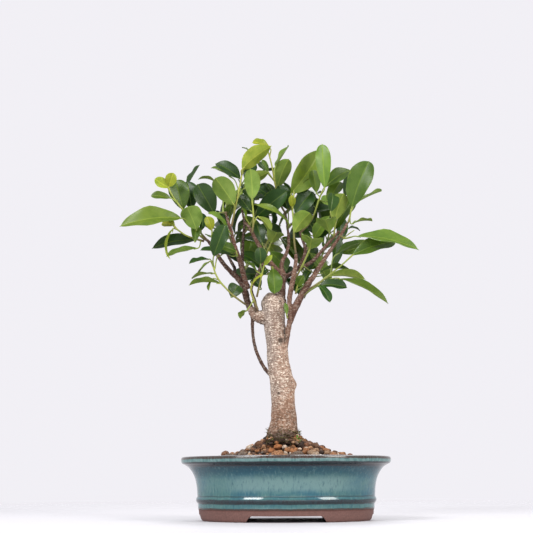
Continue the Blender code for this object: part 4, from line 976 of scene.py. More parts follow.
def bark_look():
    """Bark with pale lenticels that lie across the trunk. marks holds lenticels, darkness (partly painted
    shade in the knots and the slit beside the limb) and radius.
    """
    made = Look("bark", Roughness=0.82, Specular_IOR_Level=0.3)
    marks = made.node("SeparateXYZ", {0: made.attribute("marks", "Vector")})
    shown, dark = marks.outputs[0], marks.outputs[1]
    tint = made.attribute("tint")
    grain = made.noise(made.place((1.0, 1.0, 0.55)), 420.0, 5.0, 0.65)
    rings = made.noise(made.place((0.35, 0.35, 2.2)), 260.0, 4.0, 0.6)
    broad = made.noise(made.place(), 45.0, 3.0, 0.5)
    colour = made.mix(made.step(grain, 0.4, 0.68), made.tinted(tint, (0.5, 0.45, 0.4)), tint)
    colour = made.mix(made.step(broad, 0.35, 0.7, 0.0, 0.55), colour,
                      made.tinted(colour, (1.35, 1.25, 1.15)))
    colour = made.mix(made.step(rings, 0.54, 0.66, 0.0, 0.6), colour,
                      made.tinted(colour, (0.42, 0.38, 0.35)))
    # Lenticels: short wriggling dashes, wide along the girth and 1 mm high.
    wander = made.node("TexNoise", {"Vector": made.place(), "Scale": 210.0, "Detail": 2.0}).outputs[1]
    bent = made.node("VectorMath", {0: made.place((300.0, 300.0, 820.0)),
                                    1: made.node("VectorMath", {0: wander, "Scale": 1.15},
                                                 operation="SCALE").outputs[0]}, operation="ADD").outputs[0]
    winding = made.noise(made.place((130.0, 130.0, 430.0)), 1.0, 2.0, 0.55)
    line = made.step(made.math("ABSOLUTE", made.minus(winding, 0.5)), 0.012, 0.05, 1.0, 0.0)
    line = made.times(line, made.step(made.noise(made.place(), 420.0, 2.0), 0.4, 0.55))
    cells = made.node("TexVoronoi", {"Vector": bent, "Scale": 1.0, "Randomness": 0.9})
    chosen = made.step(made.node("SeparateColor", {0: cells.outputs["Color"]}).outputs[0], 0.5, 0.56)
    dash = made.times(made.step(cells.outputs["Distance"], 0.22, 0.44, 1.0, 0.0), chosen)
    dash = made.times(made.math("MAXIMUM", made.times(dash, 0.7), line), shown)
    colour = made.mix(made.times(dash, 0.85), colour, LENTICEL)
    # Darkening of the damp foot, with painted shade in the knots and in the slit beside the limb.
    colour = made.mix(dark, colour, (0.035, 0.024, 0.017))
    made.link(colour, "Base Color")
    relief = made.plus(made.times(grain, 0.8), made.times(rings, 0.7))
    relief = made.plus(relief, made.times(dash, 0.55))
    made.link(made.bump(relief, 0.9, 0.0009), "Normal")
    return made.material


def glaze_look():
    """Celadon glaze that breaks to brown where it runs thin, over a bare clay foot, with painted shade under
    the lip and the bead and a painted pale reflection across the belly.
    """
    made = Look("celadon_glaze", IOR=1.5)
    height = made.height()
    wobble = made.noise(made.place((1.0, 1.0, 0.2)), 60.0, 4.0, 0.6)
    fine = made.noise(made.place(), 700.0, 3.0, 0.65)
    run = made.noise(made.place((1.0, 1.0, 0.3)), 480.0, 4.0, 0.7)
    cloud = made.noise(made.place((1.0, 1.0, 1.6)), 26.0, 5.0, 0.65)
    level = made.plus(height, made.times(made.minus(wobble, 0.5), 0.0022))
    level = made.plus(level, made.times(made.minus(fine, 0.5), 0.0009))
    colour = made.mix(made.step(cloud, 0.38, 0.64), GLAZE_BLUE, GLAZE_GREEN)
    colour = made.mix(made.step(height, 0.012, 0.030, 0.7, 0.0), colour, GLAZE_GREEN)
    # Painted reflection: a pale band across the belly, strongest near the middle of the pot's length.
    painted_reflection_band = made.times(made.step(height, 0.027, 0.034), made.step(height, 0.04, 0.05, 1.0, 0.0))
    across = made.node("SeparateXYZ", {0: made.node("TexCoord").outputs["Object"]}).outputs[0]
    middle = made.step(made.math("ABSOLUTE", made.minus(across, ROOT.x + 0.005)), 0.04, 0.075, 1.0, 0.3)
    colour = made.mix(made.times(painted_reflection_band, made.times(middle, 0.85)), colour, GLAZE_PALE_AND_REFLECTION)
    # Painted dark reflection on the upper belly, which flares out towards the floor.
    colour = made.mix(made.step(level, 0.040, 0.052, 0.0, 0.85), colour, GLAZE_DEEP_AND_DARK_REFLECTION)
    # Painted shade just under the lip.
    colour = made.mix(made.step(level, 0.051, 0.0566, 0.0, 0.6), colour, PAINTED_SHADE_UNDER_LIP)
    colour = made.mix(made.step(run, 0.5, 0.7, 0.0, 0.55), colour, GLAZE_DEEP_AND_DARK_REFLECTION)
    colour = made.mix(made.step(run, 0.48, 0.3, 0.0, 0.4), colour, GLAZE_PALE_AND_REFLECTION)
    lip = made.mix(made.step(run, 0.35, 0.6), GLAZE_GREEN, GLAZE_PALE_AND_REFLECTION)
    colour = made.mix(made.step(height, 0.0582, 0.0596), colour, lip)
    # Brown where the glaze breaks, and near-black painted shade under the lip and the bead.
    for middle, spread, depth, tint in GLAZE_BREAKS_AND_SHADE:
        away = made.math("ABSOLUTE", made.minus(level, middle))
        band = made.step(away, spread * 0.5, spread, depth, 0.0)
        band = made.times(band, made.step(run, 0.35, 0.7, 1.0, 0.75))
        colour = made.mix(band, colour, tint)
    top = made.step(height, 0.0648, 0.0652)
    colour = made.mix(top, colour, made.mix(made.step(fine, 0.3, 0.7), RIM_PALE, RIM_DARK))
    glazed = made.step(level, GLAZE_END - 0.0002, GLAZE_END + 0.0002)
    clay = made.mix(made.step(fine, 0.35, 0.7), CLAY_PALE, CLAY_DARK)
    clay = made.mix(made.step(made.minus(GLAZE_END, level), 0.0, 0.0024, 0.85, 0.0), clay, CLAY_RED)
    made.link(made.mix(glazed, clay, colour), "Base Color")
    made.link(made.step(glazed, 0.0, 1.0, 0.72, 0.1), "Roughness")
    ripple = made.plus(made.times(cloud, 0.5), made.times(wobble, 0.25))
    smooth = made.bump(ripple, 0.1, 0.0016)
    gritty = made.times(fine, made.minus(1.0, glazed))
    made.link(made.bump(made.plus(gritty, made.times(glazed, 0.25)), 0.5, 0.0005, smooth), "Normal")
    return made.material


def stone_look():
    made = Look("gravel", Roughness=0.78, Specular_IOR_Level=0.35)
    tint = made.attribute("tint")
    fleck = made.noise(made.place(), 700.0, 4.0, 0.65)
    band = made.noise(made.place(), 160.0, 3.0, 0.5)
    colour = made.mix(made.step(fleck, 0.38, 0.66), made.tinted(tint, (0.42, 0.36, 0.32)), tint)
    colour = made.mix(made.step(band, 0.5, 0.75, 0.0, 0.6), colour,
                      made.tinted(colour, (1.6, 1.5, 1.35)))
    made.link(colour, "Base Color")
    made.link(made.bump(fleck, 0.7, 0.0006), "Normal")
    return made.material


def soil_look():
    made = Look("dark_soil", Roughness=0.92, Specular_IOR_Level=0.2)
    grain = made.node("TexVoronoi", {"Vector": made.place(), "Scale": 620.0})
    fine = made.noise(made.place(), 900.0, 4.0, 0.7)
    colour = made.mix(made.step(fine, 0.3, 0.7), (0.028, 0.014, 0.008), (0.13, 0.062, 0.03))
    made.link(colour, "Base Color")
    made.link(made.bump(made.plus(grain.outputs["Distance"], fine), 0.9, 0.001), "Normal")
    return made.material


def moss_look():
    made = Look("moss", Roughness=0.85, Specular_IOR_Level=0.2)
    tint = made.attribute("tint")
    fine = made.noise(made.place(), 1100.0, 3.0, 0.6)
    made.link(made.mix(made.step(fine, 0.35, 0.7), made.tinted(tint, (0.5, 0.5, 0.5)), tint),
              "Base Color")
    made.link(made.bump(fine, 0.6, 0.0004), "Normal")
    return made.material


def screen_look():
    made = Look("black_net", Roughness=0.45)
    fine = made.noise(made.place(), 1500.0, 2.0)
    made.link(made.mix(fine, (0.012, 0.012, 0.012), (0.03, 0.03, 0.03)), "Base Color")
    made.link(made.bump(fine, 0.3, 0.0001), "Normal")
    return made.material


# Leaves and shoots -----------------------------------------------------------------------------------------


def blade_outline(t, bow):
    """Half width along a blade, as a share of half its width, drawn out to a short drip tip."""
    tip = (0.9 if bow >= POINTED_BOW else 0.5) * (1.0 - t) if t > 0.5 else 0.0
    return (leaf_outline(t / 0.975, bow) ** 4 + tip ** 4) ** 0.25 if 0.0 < t < 1.0 else 0.0


def flipped(face):
    """The same face seen from its other side, as the underside of a leaf lists it."""
    return (face[0], face[2], face[1]) if len(face) == 3 else tuple(reversed(face))


def blade(leaf, shift, rng):
    """A leaf's blade, an upper and a lower face that meet in a thin rim: spots, faces, slots and marks."""
    _, base, tip, width, roll, bow, _ = leaf
    start = sight(base[0], base[1], base[2] + shift)
    end = sight(tip[0], tip[1], tip[2] + shift)
    _, side, upper = leaf_frame(start, end, roll)
    size = (end - start).length
    phase, beat, sweep = rng.uniform(0, 6.28), rng.uniform(1.2, 2.2), rng.uniform(-0.05, 0.05)
    ripple = rng.uniform(0.03, 0.09)
    spots, marks, index = [start], [(0.0, 0.0, 0.3)], {}
    for row, t in enumerate(BLADE_ALONG):
        half = max(width / 2 * blade_outline(t, bow), BLADE_NARROWEST)
        arch = bow * 4 * t * (1 - t)
        middle = start.lerp(end, t) + side * (sweep * size * math.sin(math.pi * t) * 0.5)
        for face in (1, -1):
            for column, s in enumerate(BLADE_ACROSS):
                rim = abs(s) == 1.0
                if rim and face < 0:
                    index[row, face, column] = index[row, 1, column]
                    continue
                fold = half * 2 * LEAF_FOLD * (math.sqrt(s * s + 0.012) - 0.11)
                wave = math.sin(phase + t * 6.28 * beat + 2.0 * s)
                lift = fold + half * ripple * 2.0 * abs(s) ** 2.5 * wave
                thick = BLADE_EDGE if rim else BLADE_MIDDLE * (1 - 0.5 * abs(s))
                if s == 0.0:
                    thick = thick * 0.4 if face > 0 else thick + BLADE_RIB * (1 - t * 0.8)
                spot = middle + side * (s * half) + upper * (arch + lift + (0.0 if rim else face * thick / 2))
                index[row, face, column] = len(spots)
                spots.append(spot)
                marks.append((s * half, t * size, half))
    last = len(spots)
    spots.append(end)
    marks.append((0.0, size, 0.2))
    faces, slots = [], []
    final = len(BLADE_ALONG) - 1
    for slot, face in enumerate((1, -1)):
        for column in range(len(BLADE_ACROSS) - 1):
            strip = [(index[row, face, column], index[row, face, column + 1]) for row in range(final + 1)]
            made = [(0, *strip[0])]
            made += [(a, c, d, b) for (a, b), (c, d) in zip(strip, strip[1:])]
            made.append((strip[final][0], last, strip[final][1]))
            faces += made if face > 0 else [flipped(row) for row in made]
            slots += [slot] * len(made)
    return spots, faces, slots, marks


def stalk_into(surface, leaf, stem, shift, tint):
    """A stalk that leaves the stem straight and bends over into the blade's direction."""
    start, base = along(stem, min(leaf[0], LAST_JOINT)), leaf_point(leaf, 0.0, 0.0, shift)
    tip = leaf_point(leaf, 1.0, 0.0, shift)
    way, reach, leave = (tip - base).normalized(), (base - start).length, (base - start).normalized()
    guides = start + leave * reach * 0.35, base - way * reach * 0.3
    path, radii = [], []
    count = max(5, int(reach / STALK_STEP))
    for i in range(count + 1):
        t = i / count
        path.append((1 - t) ** 3 * start + 3 * (1 - t) ** 2 * t * guides[0] + 3 * (1 - t) * t * t * guides[1]
                    + t ** 3 * base)
        swell = 1.0 + 0.18 * max(0.0, t - 0.85) / 0.15
        radii.append(STALK_RADIUS * (1.25 - 0.35 * min(t * 3, 1.0)) * swell)
    path.append(base + way * min(4.0, (tip - base).length * 0.12))
    radii.append(STALK_RADIUS * 0.55)
    spots, faces = tube(path, radii, 8)
    surface.add(spots, faces, 2, tint)


def stem_into(surface, path, leaves, tint, old_tint, rng):
    rows = [Vector(row[:3]) for row in smooth_path([tuple(p) for p in path], 7)]
    joints = sorted(min(leaf[0], LAST_JOINT) for leaf, _ in leaves)
    radii, tints = [], []
    for i, _ in enumerate(rows):
        share = i / (len(rows) - 1)
        swell = sum(math.exp(-((share - joint) * len(rows) / 2.0) ** 2) for joint in joints)
        thick = STEM_RADII[0] - (STEM_RADII[0] - STEM_RADII[1]) * share
        radii.append(thick * (1.0 + 0.16 * min(swell, 1.0)))
        mixed = min(1.0, share * 1.6)
        tints.append([old * (1 - mixed) + new * mixed for old, new in zip(old_tint, tint)])
    spots, faces = tube(rows, radii, STEM_SIDES)
    surface.add(spots, faces, 2, [row for row in tints for _ in range(STEM_SIDES)])
    # The closed bud at the growing end.
    way = (rows[-1] - rows[-2]).normalized()
    size = rng.uniform(*BUD_LENGTH)
    bend = Vector((rng.uniform(-0.15, 0.15), rng.uniform(-0.15, 0.15), 0.12))
    bud = [rows[-1] + (way + bend * t) * size * t for t in BUD_ALONG]
    spots, faces = tube(bud, BUD_RADII, 8)
    surface.add(spots, faces, 2, BUD_TINT)


def varied(colour, rng, amount):
    shade = 1.0 + rng.uniform(-amount, amount)
    warm = 1.0 + rng.uniform(-amount, amount) * 0.6
    return (colour[0] * shade * warm, colour[1] * shade, colour[2] * shade / warm)


def make_shoot(name, path, leaves, looks, rng):
    surface, undersides = Surface(), []
    first = TONES[leaves[0][0][-1]]
    stem_into(surface, path, leaves, varied(first[2], rng, 0.1), STEM_OLD, rng)
    for leaf, shift in leaves:
        upper, under, stalk = (varied(colour, rng, 0.16) for colour in TONES[leaf[-1]])
        spots, faces, slots, marks = blade(leaf, shift, rng)
        undersides.append((len(surface.spots), len(spots), under))
        surface.add(spots, faces, slots, upper, marks)
        stalk_into(surface, leaf, path, shift, stalk)
    mesh = surface.mesh(name)
    below = np.array(surface.tints, dtype=float)
    for place, count, colour in undersides:
        below[place:place + count] = colour
    point_attribute(mesh, "tint_under", "FLOAT_COLOR", below)
    made = new_object(name, mesh, *looks)
    return give(made, "leaf_young" if name in YOUNG_SHOOTS else "leaf_mature", name)


# Wood ------------------------------------------------------------------------------------------------------


def wood_rows():
    """The trunk, the limbs and the surface roots as smooth rows of x, y, z, radius."""
    made = {"trunk": smooth_path([(x, TRUNK_DEPTH, z, radius) for z, x, radius in TRUNK], 5)}
    for name, points in table_rows(LIMBS):
        thin = 1.0 if name == "left_joint" else LIMB_THINNING
        rows = [(*sight(x, z, depth), radius * thin) for x, z, depth, radius in points]
        made[name] = smooth_path(rows, 6)
    for number, (angle, reach, radius) in enumerate(ROOTS):
        way = Vector((math.cos(math.radians(angle)), math.sin(math.radians(angle)), 0))
        start = Vector((-2.6, 0, 94)) + way * 6
        rows = []
        for t, drop, thin in ((0, 0, 1.0), (0.35, 8, 0.95), (0.7, 15, 0.8), (1.0, 21, 0.5)):
            spot = start + way * reach * t - Vector((0, 0, drop))
            rows.append((*spot, radius * thin))
        made[f"root_{number}"] = smooth_path(rows, 4)
    return made


def wood_tint(name, spot):
    """Bark colour: on the trunk greyer and darker to the left and lighter and warmer to the right, painted
    light from the right; redder on the limbs.
    """
    x, _, z = spot
    if name == "trunk" or name.startswith("root"):
        # Painted light: lighter and warmer towards the right.
        across = min(max((x + 8.0) / 20.0 + 0.5, 0.0), 1.0)
        upper = [a * (1 - across) + b * across for a, b in zip(BARK_SHADED_LEFT, BARK_LIT_RIGHT)]
        low = min(max((134.0 + 6.0 * noise.noise(Vector((x, z, 0)) * 0.12) - z) / 26.0, 0.0), 1.0)
        return [a * (1 - low) + b * low for a, b in zip(upper, BARK_LOW)]
    return LIMB_TINTS[name]


def groove(spot):
    """1 along the slit between the trunk and the right-hand limb that runs up beside it, 0 away from it."""
    if spot.y > 0.0 or not GROOVE[0][0] < spot.z < GROOVE[-1][0]:
        return 0.0
    heights, places = zip(*GROOVE)
    ends = min(spot.z - heights[0], heights[-1] - spot.z) / 6.0
    return min(ends, 1.0) * math.exp(-((spot.x - float(np.interp(spot.z, heights, places))) / 0.8) ** 2)


def wood_relief(name, spot, run, radius, z):
    """How far the bark stands proud (mm): knots, wrinkles, scar rings and flutes at the foot."""
    x, y, _ = spot
    point = Vector(spot)
    big = noise.fractal(point * 0.055, 0.6, 2.0, 3)
    small = noise.fractal(point * 0.25, 0.7, 2.0, 3)
    if name == "trunk" or name.startswith("root"):
        rise = 0.55 * big + 0.28 * small
        rise += 0.22 * noise.noise(Vector((x * 0.06, y * 0.06, z * 0.42)))
        angle = math.atan2(y, x + 2.6)
        rise += 1.1 * math.exp(-max(z - 82.0, 0.0) / 14.0) * math.cos(5 * angle + 0.8 + 0.02 * z)
        rise += 1.7 * math.exp(-((z - 142.0) / 5.0) ** 2) * max(0.0, math.cos(angle)) ** 6
        rise -= 0.7 * math.exp(-((z - 152.0) / 5.0) ** 2) * max(0.0, math.cos(angle)) ** 4
        rise += 1.7 * math.exp(-((z - 230.5) / 5.0) ** 2) * (0.6 + 0.4 * math.sin(3 * angle))
        rise -= 0.9 * groove(point)
        if y < KNOTS_IN_FRONT_OF:
            for middle_x, middle_z, size, ring, hollow in KNOTS:
                away = math.hypot(x - middle_x, z - middle_z) / size
                rise += ring * math.exp(-((away - 1.0) / 0.4) ** 2) - hollow * math.exp(-(away / 0.6) ** 2)
        return rise
    rise = (0.1 + 0.05 * radius) * (0.5 * big + 0.6 * small)
    if name == "left_joint":
        return rise + 0.45 * math.sin(run * 2.1)
    scar = abs((run + 3.0 * big) % 8.5 - 4.2)
    return rise + 0.28 * math.exp(-(scar / 0.8) ** 2)


def row_tree(rows):
    """A search tree over rows that start with x, y, z."""
    tree = KDTree(len(rows))
    for i, row in enumerate(rows):
        tree.insert(Vector(row[:3]), i)
    tree.balance()
    return tree


def wood_darkness(spot):
    """How dark the trunk's bark is: at its damp foot, in its knots, their own dark bark with painted shade in
    their hollows, and with painted shade in the slit beside the limb.
    """
    patch = noise.noise(spot * 0.22) * 6.0
    dark = max(0.0, 0.65 * min(max((97.0 + patch - spot.z) / 8.0, 0.0), 1.0), 0.85 * groove(spot))
    if spot.y < KNOTS_IN_FRONT_OF:
        for middle_x, middle_z, size, _, _ in KNOTS:
            away = math.hypot(spot.x - middle_x, spot.z - middle_z) / size
            dark = max(dark, 0.85 * math.exp(-(away / 0.95) ** 4))
    return dark


def melted_wood():
    """The trunk, limbs and roots melted into one skin, and (name, row, run along it) for their rows."""
    surface, samples = Surface(), []
    for name, rows in wood_rows().items():
        spots, faces = tube(rows, [row[3] for row in rows], 28 if name == "trunk" else 12)
        surface.add(spots, faces, 0, (0, 0, 0))
        run = 0.0
        for before, row in zip([rows[0]] + list(rows), rows):
            run += (Vector(row[:3]) - Vector(before[:3])).length
            samples.append((name, row, run))
    rough = bpy.data.meshes.new("rough_wood")
    rough.from_pydata([tuple(row) for row in to_world(surface.spots)], [], surface.faces)
    holder = new_object("rough_wood", rough)
    melt = holder.modifiers.new("melt", "REMESH")
    melt.mode = "VOXEL"
    melt.voxel_size = WOOD_VOXEL * MM
    return applied(holder), samples


def build_wood(look):
    mesh, samples = melted_wood()
    mesh.name = "trunk_and_limbs_bark"
    bm = bmesh.new()
    bm.from_mesh(mesh)
    for _ in range(WOOD_SMOOTHING):
        bmesh.ops.smooth_vert(bm, verts=bm.verts, factor=0.5, use_axis_x=True, use_axis_y=True,
                              use_axis_z=True)
    bm.normal_update()
    tree = row_tree([row for _, row, _ in samples])
    core = [row for name, row, _ in samples if name == "trunk"]
    core_tree = row_tree(core)
    tints, marks = [], []
    for vert in bm.verts:
        spot = (vert.co - ROOT) / MM
        best = min(tree.find_n(spot, 6), key=lambda hit: hit[2] - samples[hit[1]][1][3])
        name, row, run = samples[best[1]]
        # Where a limb leaves the trunk it keeps the trunk's looks for the first few millimetres.
        _, number, away = core_tree.find(spot)
        blend = min(max(1.0 - (away - core[number][3] - 0.6) / 3.5, 0.0), 1.0)
        if name == "trunk" or name.startswith("root"):
            blend = 1.0
        on_trunk = blend > 0.5
        rise = wood_relief("trunk" if on_trunk else name, spot, run, row[3], spot.z) + 0.12
        vert.co = vert.co + vert.normal * rise * MM
        marked = LENTICELS_ON_JOINT if name == "left_joint" else LENTICELS_ON_LIMBS
        shown = min(max((spot.z - 96.0) / 40.0, 0.45), 1.0) * blend + marked * (1.0 - blend)
        tint = wood_tint(name, spot)
        if blend > 0.0:
            under = wood_tint("trunk", spot)
            tint = [a * blend + b * (1.0 - blend) for a, b in zip(under, tint)]
        tints.append(tint)
        marks.append((shown, wood_darkness(spot) if on_trunk else 0.0, row[3]))
    bm.to_mesh(mesh)
    bm.free()
    point_attribute(mesh, "tint", "FLOAT_COLOR", tints)
    point_attribute(mesh, "marks", "FLOAT_VECTOR", marks)
    mesh.shade_smooth()
    return give(new_object("trunk_and_limbs_bark", mesh, look), "bark", "trunk_and_limbs")


# Pot, soil, gravel and moss --------------------------------------------------------------------------------


def box_cutter(name, widths, top, length, along_x):
    bm = bmesh.new()
    bmesh.ops.create_cube(bm, size=1.0)
    for vert in bm.verts:
        wide = widths[0] if vert.co.z < 0 else widths[1]
        height = (vert.co.z + 0.5) * (top + CUT_DEPTH) - CUT_DEPTH
        vert.co = Vector((vert.co.x * wide, vert.co.y * length, height)) * MM
    upper = [edge for edge in bm.edges if all(vert.co.z > 0 for vert in edge.verts)]
    corners = [edge for edge in upper if abs((edge.verts[0].co - edge.verts[1].co).y) > 0.05]
    bmesh.ops.bevel(bm, geom=corners, offset=2.5 * MM, segments=5, profile=0.5, affect="EDGES")
    if along_x:
        bm.transform(Matrix.Rotation(math.pi / 2, 4, "Z"))
    bm.transform(Matrix.Translation(ROOT))
    return new_object(name, mesh_of(name, bm))


def build_pot(look):
    outer = [tuple(row) for row in smooth_path(POT_OUTER, 4)]
    profile = outer + list(POT_INNER) + [outer[0]]
    bm = bmesh.new()
    spots = [bm.verts.new((x * MM, 0, z * MM)) for x, z in profile]
    for a, b in zip(spots, spots[1:]):
        bm.edges.new((a, b))
    lathe = new_object("pot_profile", mesh_of("pot_profile", bm))
    lathe.location = ROOT
    lathe.scale = (1.0, POT_DEPTH_RATIO, 1.0)
    turn = lathe.modifiers.new("turn", "SCREW")
    turn.axis = "Z"
    turn.steps = turn.render_steps = POT_STEPS
    turn.use_merge_vertices = True
    turn.merge_threshold = 1e-5
    turn.use_normal_calculate = True
    cutters = [box_cutter("front_gap", FOOT_GAP_FRONT, FOOT_GAP_TOP, 240.0, False),
               box_cutter("side_gap", FOOT_GAP_SIDE, FOOT_GAP_TOP, 260.0, True)]
    for x in (-DRAIN_HOLE_OFFSET, DRAIN_HOLE_OFFSET):
        bm = bmesh.new()
        bmesh.ops.create_cone(bm, cap_ends=True, segments=48, radius1=DRAIN_HOLE_RADIUS * MM,
                              radius2=DRAIN_HOLE_RADIUS * MM, depth=0.03)
        hole = new_object("drain", mesh_of("drain", bm))
        hole.location = ROOT + Vector((x, 0, POT_FLOOR_TOP)) * MM
        cutters.append(hole)
    for cutter in cutters:
        cut = lathe.modifiers.new("cut", "BOOLEAN")
        cut.operation = "DIFFERENCE"
        cut.solver = "EXACT"
        cut.object = cutter
    mesh = applied(lathe)
    for cutter in cutters:
        bpy.data.objects.remove(cutter)
    mesh.materials.clear()
    mesh.shade_smooth()
    mesh.set_sharp_from_angle(angle=math.radians(38))
    return give(new_object("pot_glazed", mesh, look), "glaze", "pot")


def soil_height(x, y):
    out = min(math.hypot(x, y / POT_DEPTH_RATIO) / SOIL_MOUND_HALF_WIDTH, 1.0)
    return SOIL_EDGE_HEIGHT + (SOIL_CROWN_HEIGHT - SOIL_EDGE_HEIGHT) * (0.5 + 0.5 * math.cos(math.pi * out))


def oval(radius, turn, height):
    """The spot at a share of a turn round an oval as wide as the pot's, with the given half width."""
    angle = 2 * math.pi * turn
    return radius * math.cos(angle), radius * math.sin(angle) * POT_DEPTH_RATIO, height


def build_soil(look):
    """The soil's top, rough with grains, over a plain body inside the pot."""
    surface, spots = Surface(), []
    for ring in range(1, SOIL_RINGS + 1):
        for k in range(SOIL_TURNS):
            x, y, _ = oval(POT_INNER_AT_SOIL * ring / SOIL_RINGS, k / SOIL_TURNS, 0.0)
            rough = 1.1 * noise.fractal(Vector((x, y, 3.0)) * 0.35, 0.8, 2.0, 3)
            spots.append((x, y, soil_height(x, y) - 0.6 + (rough if ring < SOIL_RINGS else -0.5)))
    spots += [oval(POT_INNER_AT_SOIL - 4, k / SOIL_TURNS, 48.0) for k in range(SOIL_TURNS)]
    spots.append((0, 0, soil_height(0, 0)))
    faces, top = [], len(spots) - 1
    for k in range(SOIL_TURNS):
        following = (k + 1) % SOIL_TURNS
        faces.append((top, k, following))
        for ring in range(SOIL_RINGS):
            a, b = ring * SOIL_TURNS + k, ring * SOIL_TURNS + following
            faces.append((a, a + SOIL_TURNS, b + SOIL_TURNS, b))
    faces.append(tuple(SOIL_RINGS * SOIL_TURNS + k for k in reversed(range(SOIL_TURNS))))
    surface.add(spots, faces, 0, (0.05, 0.025, 0.015))
    return give(new_object("soil_surface", surface.mesh("soil_surface", 180), look), "soil", "soil")


def pebble_shape(rng, rings):
    """A rounded lumpy stone of radius 1: its spots and faces."""
    bm = bmesh.new()
    bmesh.ops.create_icosphere(bm, subdivisions=rings, radius=1.0)
    drift = Vector((rng.uniform(-50, 50), rng.uniform(-50, 50), rng.uniform(-50, 50)))
    lump = rng.uniform(0.25, 0.55)
    spots = [v.co * (1.0 + lump * noise.noise(v.co * 1.1 + drift) + 0.12 * noise.noise(v.co * 2.7 + drift))
             for v in bm.verts]
    faces = [tuple(v.index for v in f.verts) for f in bm.faces]
    bm.free()
    return spots, faces


def pebble_into(surface, rng, middle, size, tint, rings):
    spots, faces = pebble_shape(rng, rings)
    turn = Matrix.Rotation(rng.uniform(0, 6.28), 3, "Z") @ Matrix.Rotation(rng.uniform(-0.5, 0.5), 3, "X")
    spots = [turn @ Vector((s.x * size[0], s.y * size[1], s.z * size[2])) + middle for s in spots]
    surface.add(spots, faces, 0, tint)


def gravel_tint(rng):
    return varied(rng.choices(GRAVEL_TINTS, GRAVEL_SHARES)[0], rng, 0.22)


def build_stones(look):
    """The larger stones, each where its CAD stone lies."""
    rng = random.Random(STONE_SEED)
    surface = Surface()
    placed = []
    for (x, y, half_length, half_height, turn), tint in zip(PEBBLES, STONE_TINTS):
        reach = half_length / 2
        under = ((x, y), (x + reach, y), (x - reach, y), (x, y + reach), (x, y - reach))
        height = max(soil_height(*spot) for spot in under) + half_height
        spots, faces = pebble_shape(rng, 4)
        turned = Matrix.Rotation(math.radians(turn), 3, "Z")
        spots = [turned @ Vector((s.x * half_length, s.y * half_length * STONE_FLATNESS, s.z * half_height))
                 + Vector((x, y, height)) for s in spots]
        surface.add(spots, faces, 0, tint)
        placed.append((x, y, half_length))
    mesh = surface.mesh("top_stones", 180)
    names = [f"pebble_{number:02d}" for number in range(1, len(PEBBLES) + 1)]
    give(new_object("top_stones", mesh, look), "fired_clay_pebble", *names)
    return placed


def build_gravel(look, placed):
    """Rounded gravel over the whole mound, larger round the trunk and fine at the right-hand end."""
    rng = random.Random(GRAVEL_SEED)
    surface = Surface()
    spots = list(placed)
    for count, low, high, spacing in GRAVEL_PASSES:
        for _ in range(count):
            a, out = rng.uniform(0, 2 * math.pi), math.sqrt(rng.uniform(0.0, 1.0))
            x, y = GRAVEL_HALF[0] * out * math.cos(a), GRAVEL_HALF[1] * out * math.sin(a)
            size = rng.uniform(low, high)
            if x > FINE_FROM and size > 3.2:
                size *= 0.55
            from_trunk = math.hypot(x - TRUNK_FOOT[0], y)
            if from_trunk < TRUNK_FOOT[1] + size:
                continue
            if any((x - u) ** 2 + (y - v) ** 2 < (spacing * (size + w)) ** 2 for u, v, w in spots):
                continue
            spots.append((x, y, size))
            near = max(0.0, 1.0 - from_trunk / 60.0)
            lift = size * 0.3 + rng.uniform(0.0, 0.35) * size + 4.5 * near * rng.uniform(0.1, 1.0)
            shape = [size * rng.uniform(*part) for part in GRAVEL_SHAPE]
            edge = (x / 96.0) ** 2 + (y / 75.0) ** 2
            if edge > 0.88:
                lift *= 0.5
            pebble_into(surface, rng, Vector((x, y, soil_height(x, y) + lift)), shape, gravel_tint(rng),
                        3 if size > 3.4 else 2)
    number, near, far, lift = HEAP
    for _ in range(number):
        a, share = rng.uniform(0, 2 * math.pi), rng.random() ** 1.4
        out, size = near + (far - near) * share, rng.uniform(1.5, 3.3)
        x, y = TRUNK_FOOT[0] + out * math.cos(a), out * math.sin(a)
        shape = [size * rng.uniform(*part) for part in HEAP_SHAPE]
        height = soil_height(x, y) + size * 0.4 + lift * (1.0 - share) * rng.uniform(0.3, 1.0)
        inside = 1.0 - sum(((c - m) / h) ** 2 for c, m, h in zip((x, y), MOSS_MIDDLE, MOSS_HALF_SIZE))
        if inside > 0.0:
            if rng.random() < 0.35:
                continue
            height = soil_height(x, MOSS_MIDDLE[1]) + MOSS_HALF_SIZE[2] * (0.9 + 0.9 * math.sqrt(inside))
        pebble_into(surface, rng, Vector((x, y, height)), shape, gravel_tint(rng), 2)
    mesh = surface.mesh("gravel", 180)
    return give(new_object("gravel", mesh, look), "fired_clay_pebble")


def blade_of_moss(surface, rng, root, way, sizes):
    size, tint = rng.uniform(*sizes), varied(rng.choice(MOSS_TINTS), rng, 0.3)
    bend = Vector((rng.uniform(-0.6, 0.6), rng.uniform(-0.6, 0.6), rng.uniform(-0.2, 0.5)))
    points = [root + (way + bend * t) * size * t for t in (0.0, 0.4, 0.75, 1.0)]
    wide = rng.uniform(0.22, 0.42)
    spots, faces = tube(points, (wide, wide * 0.9, wide * 0.6, 0.05), 4)
    surface.add(spots, faces, 0, tint)


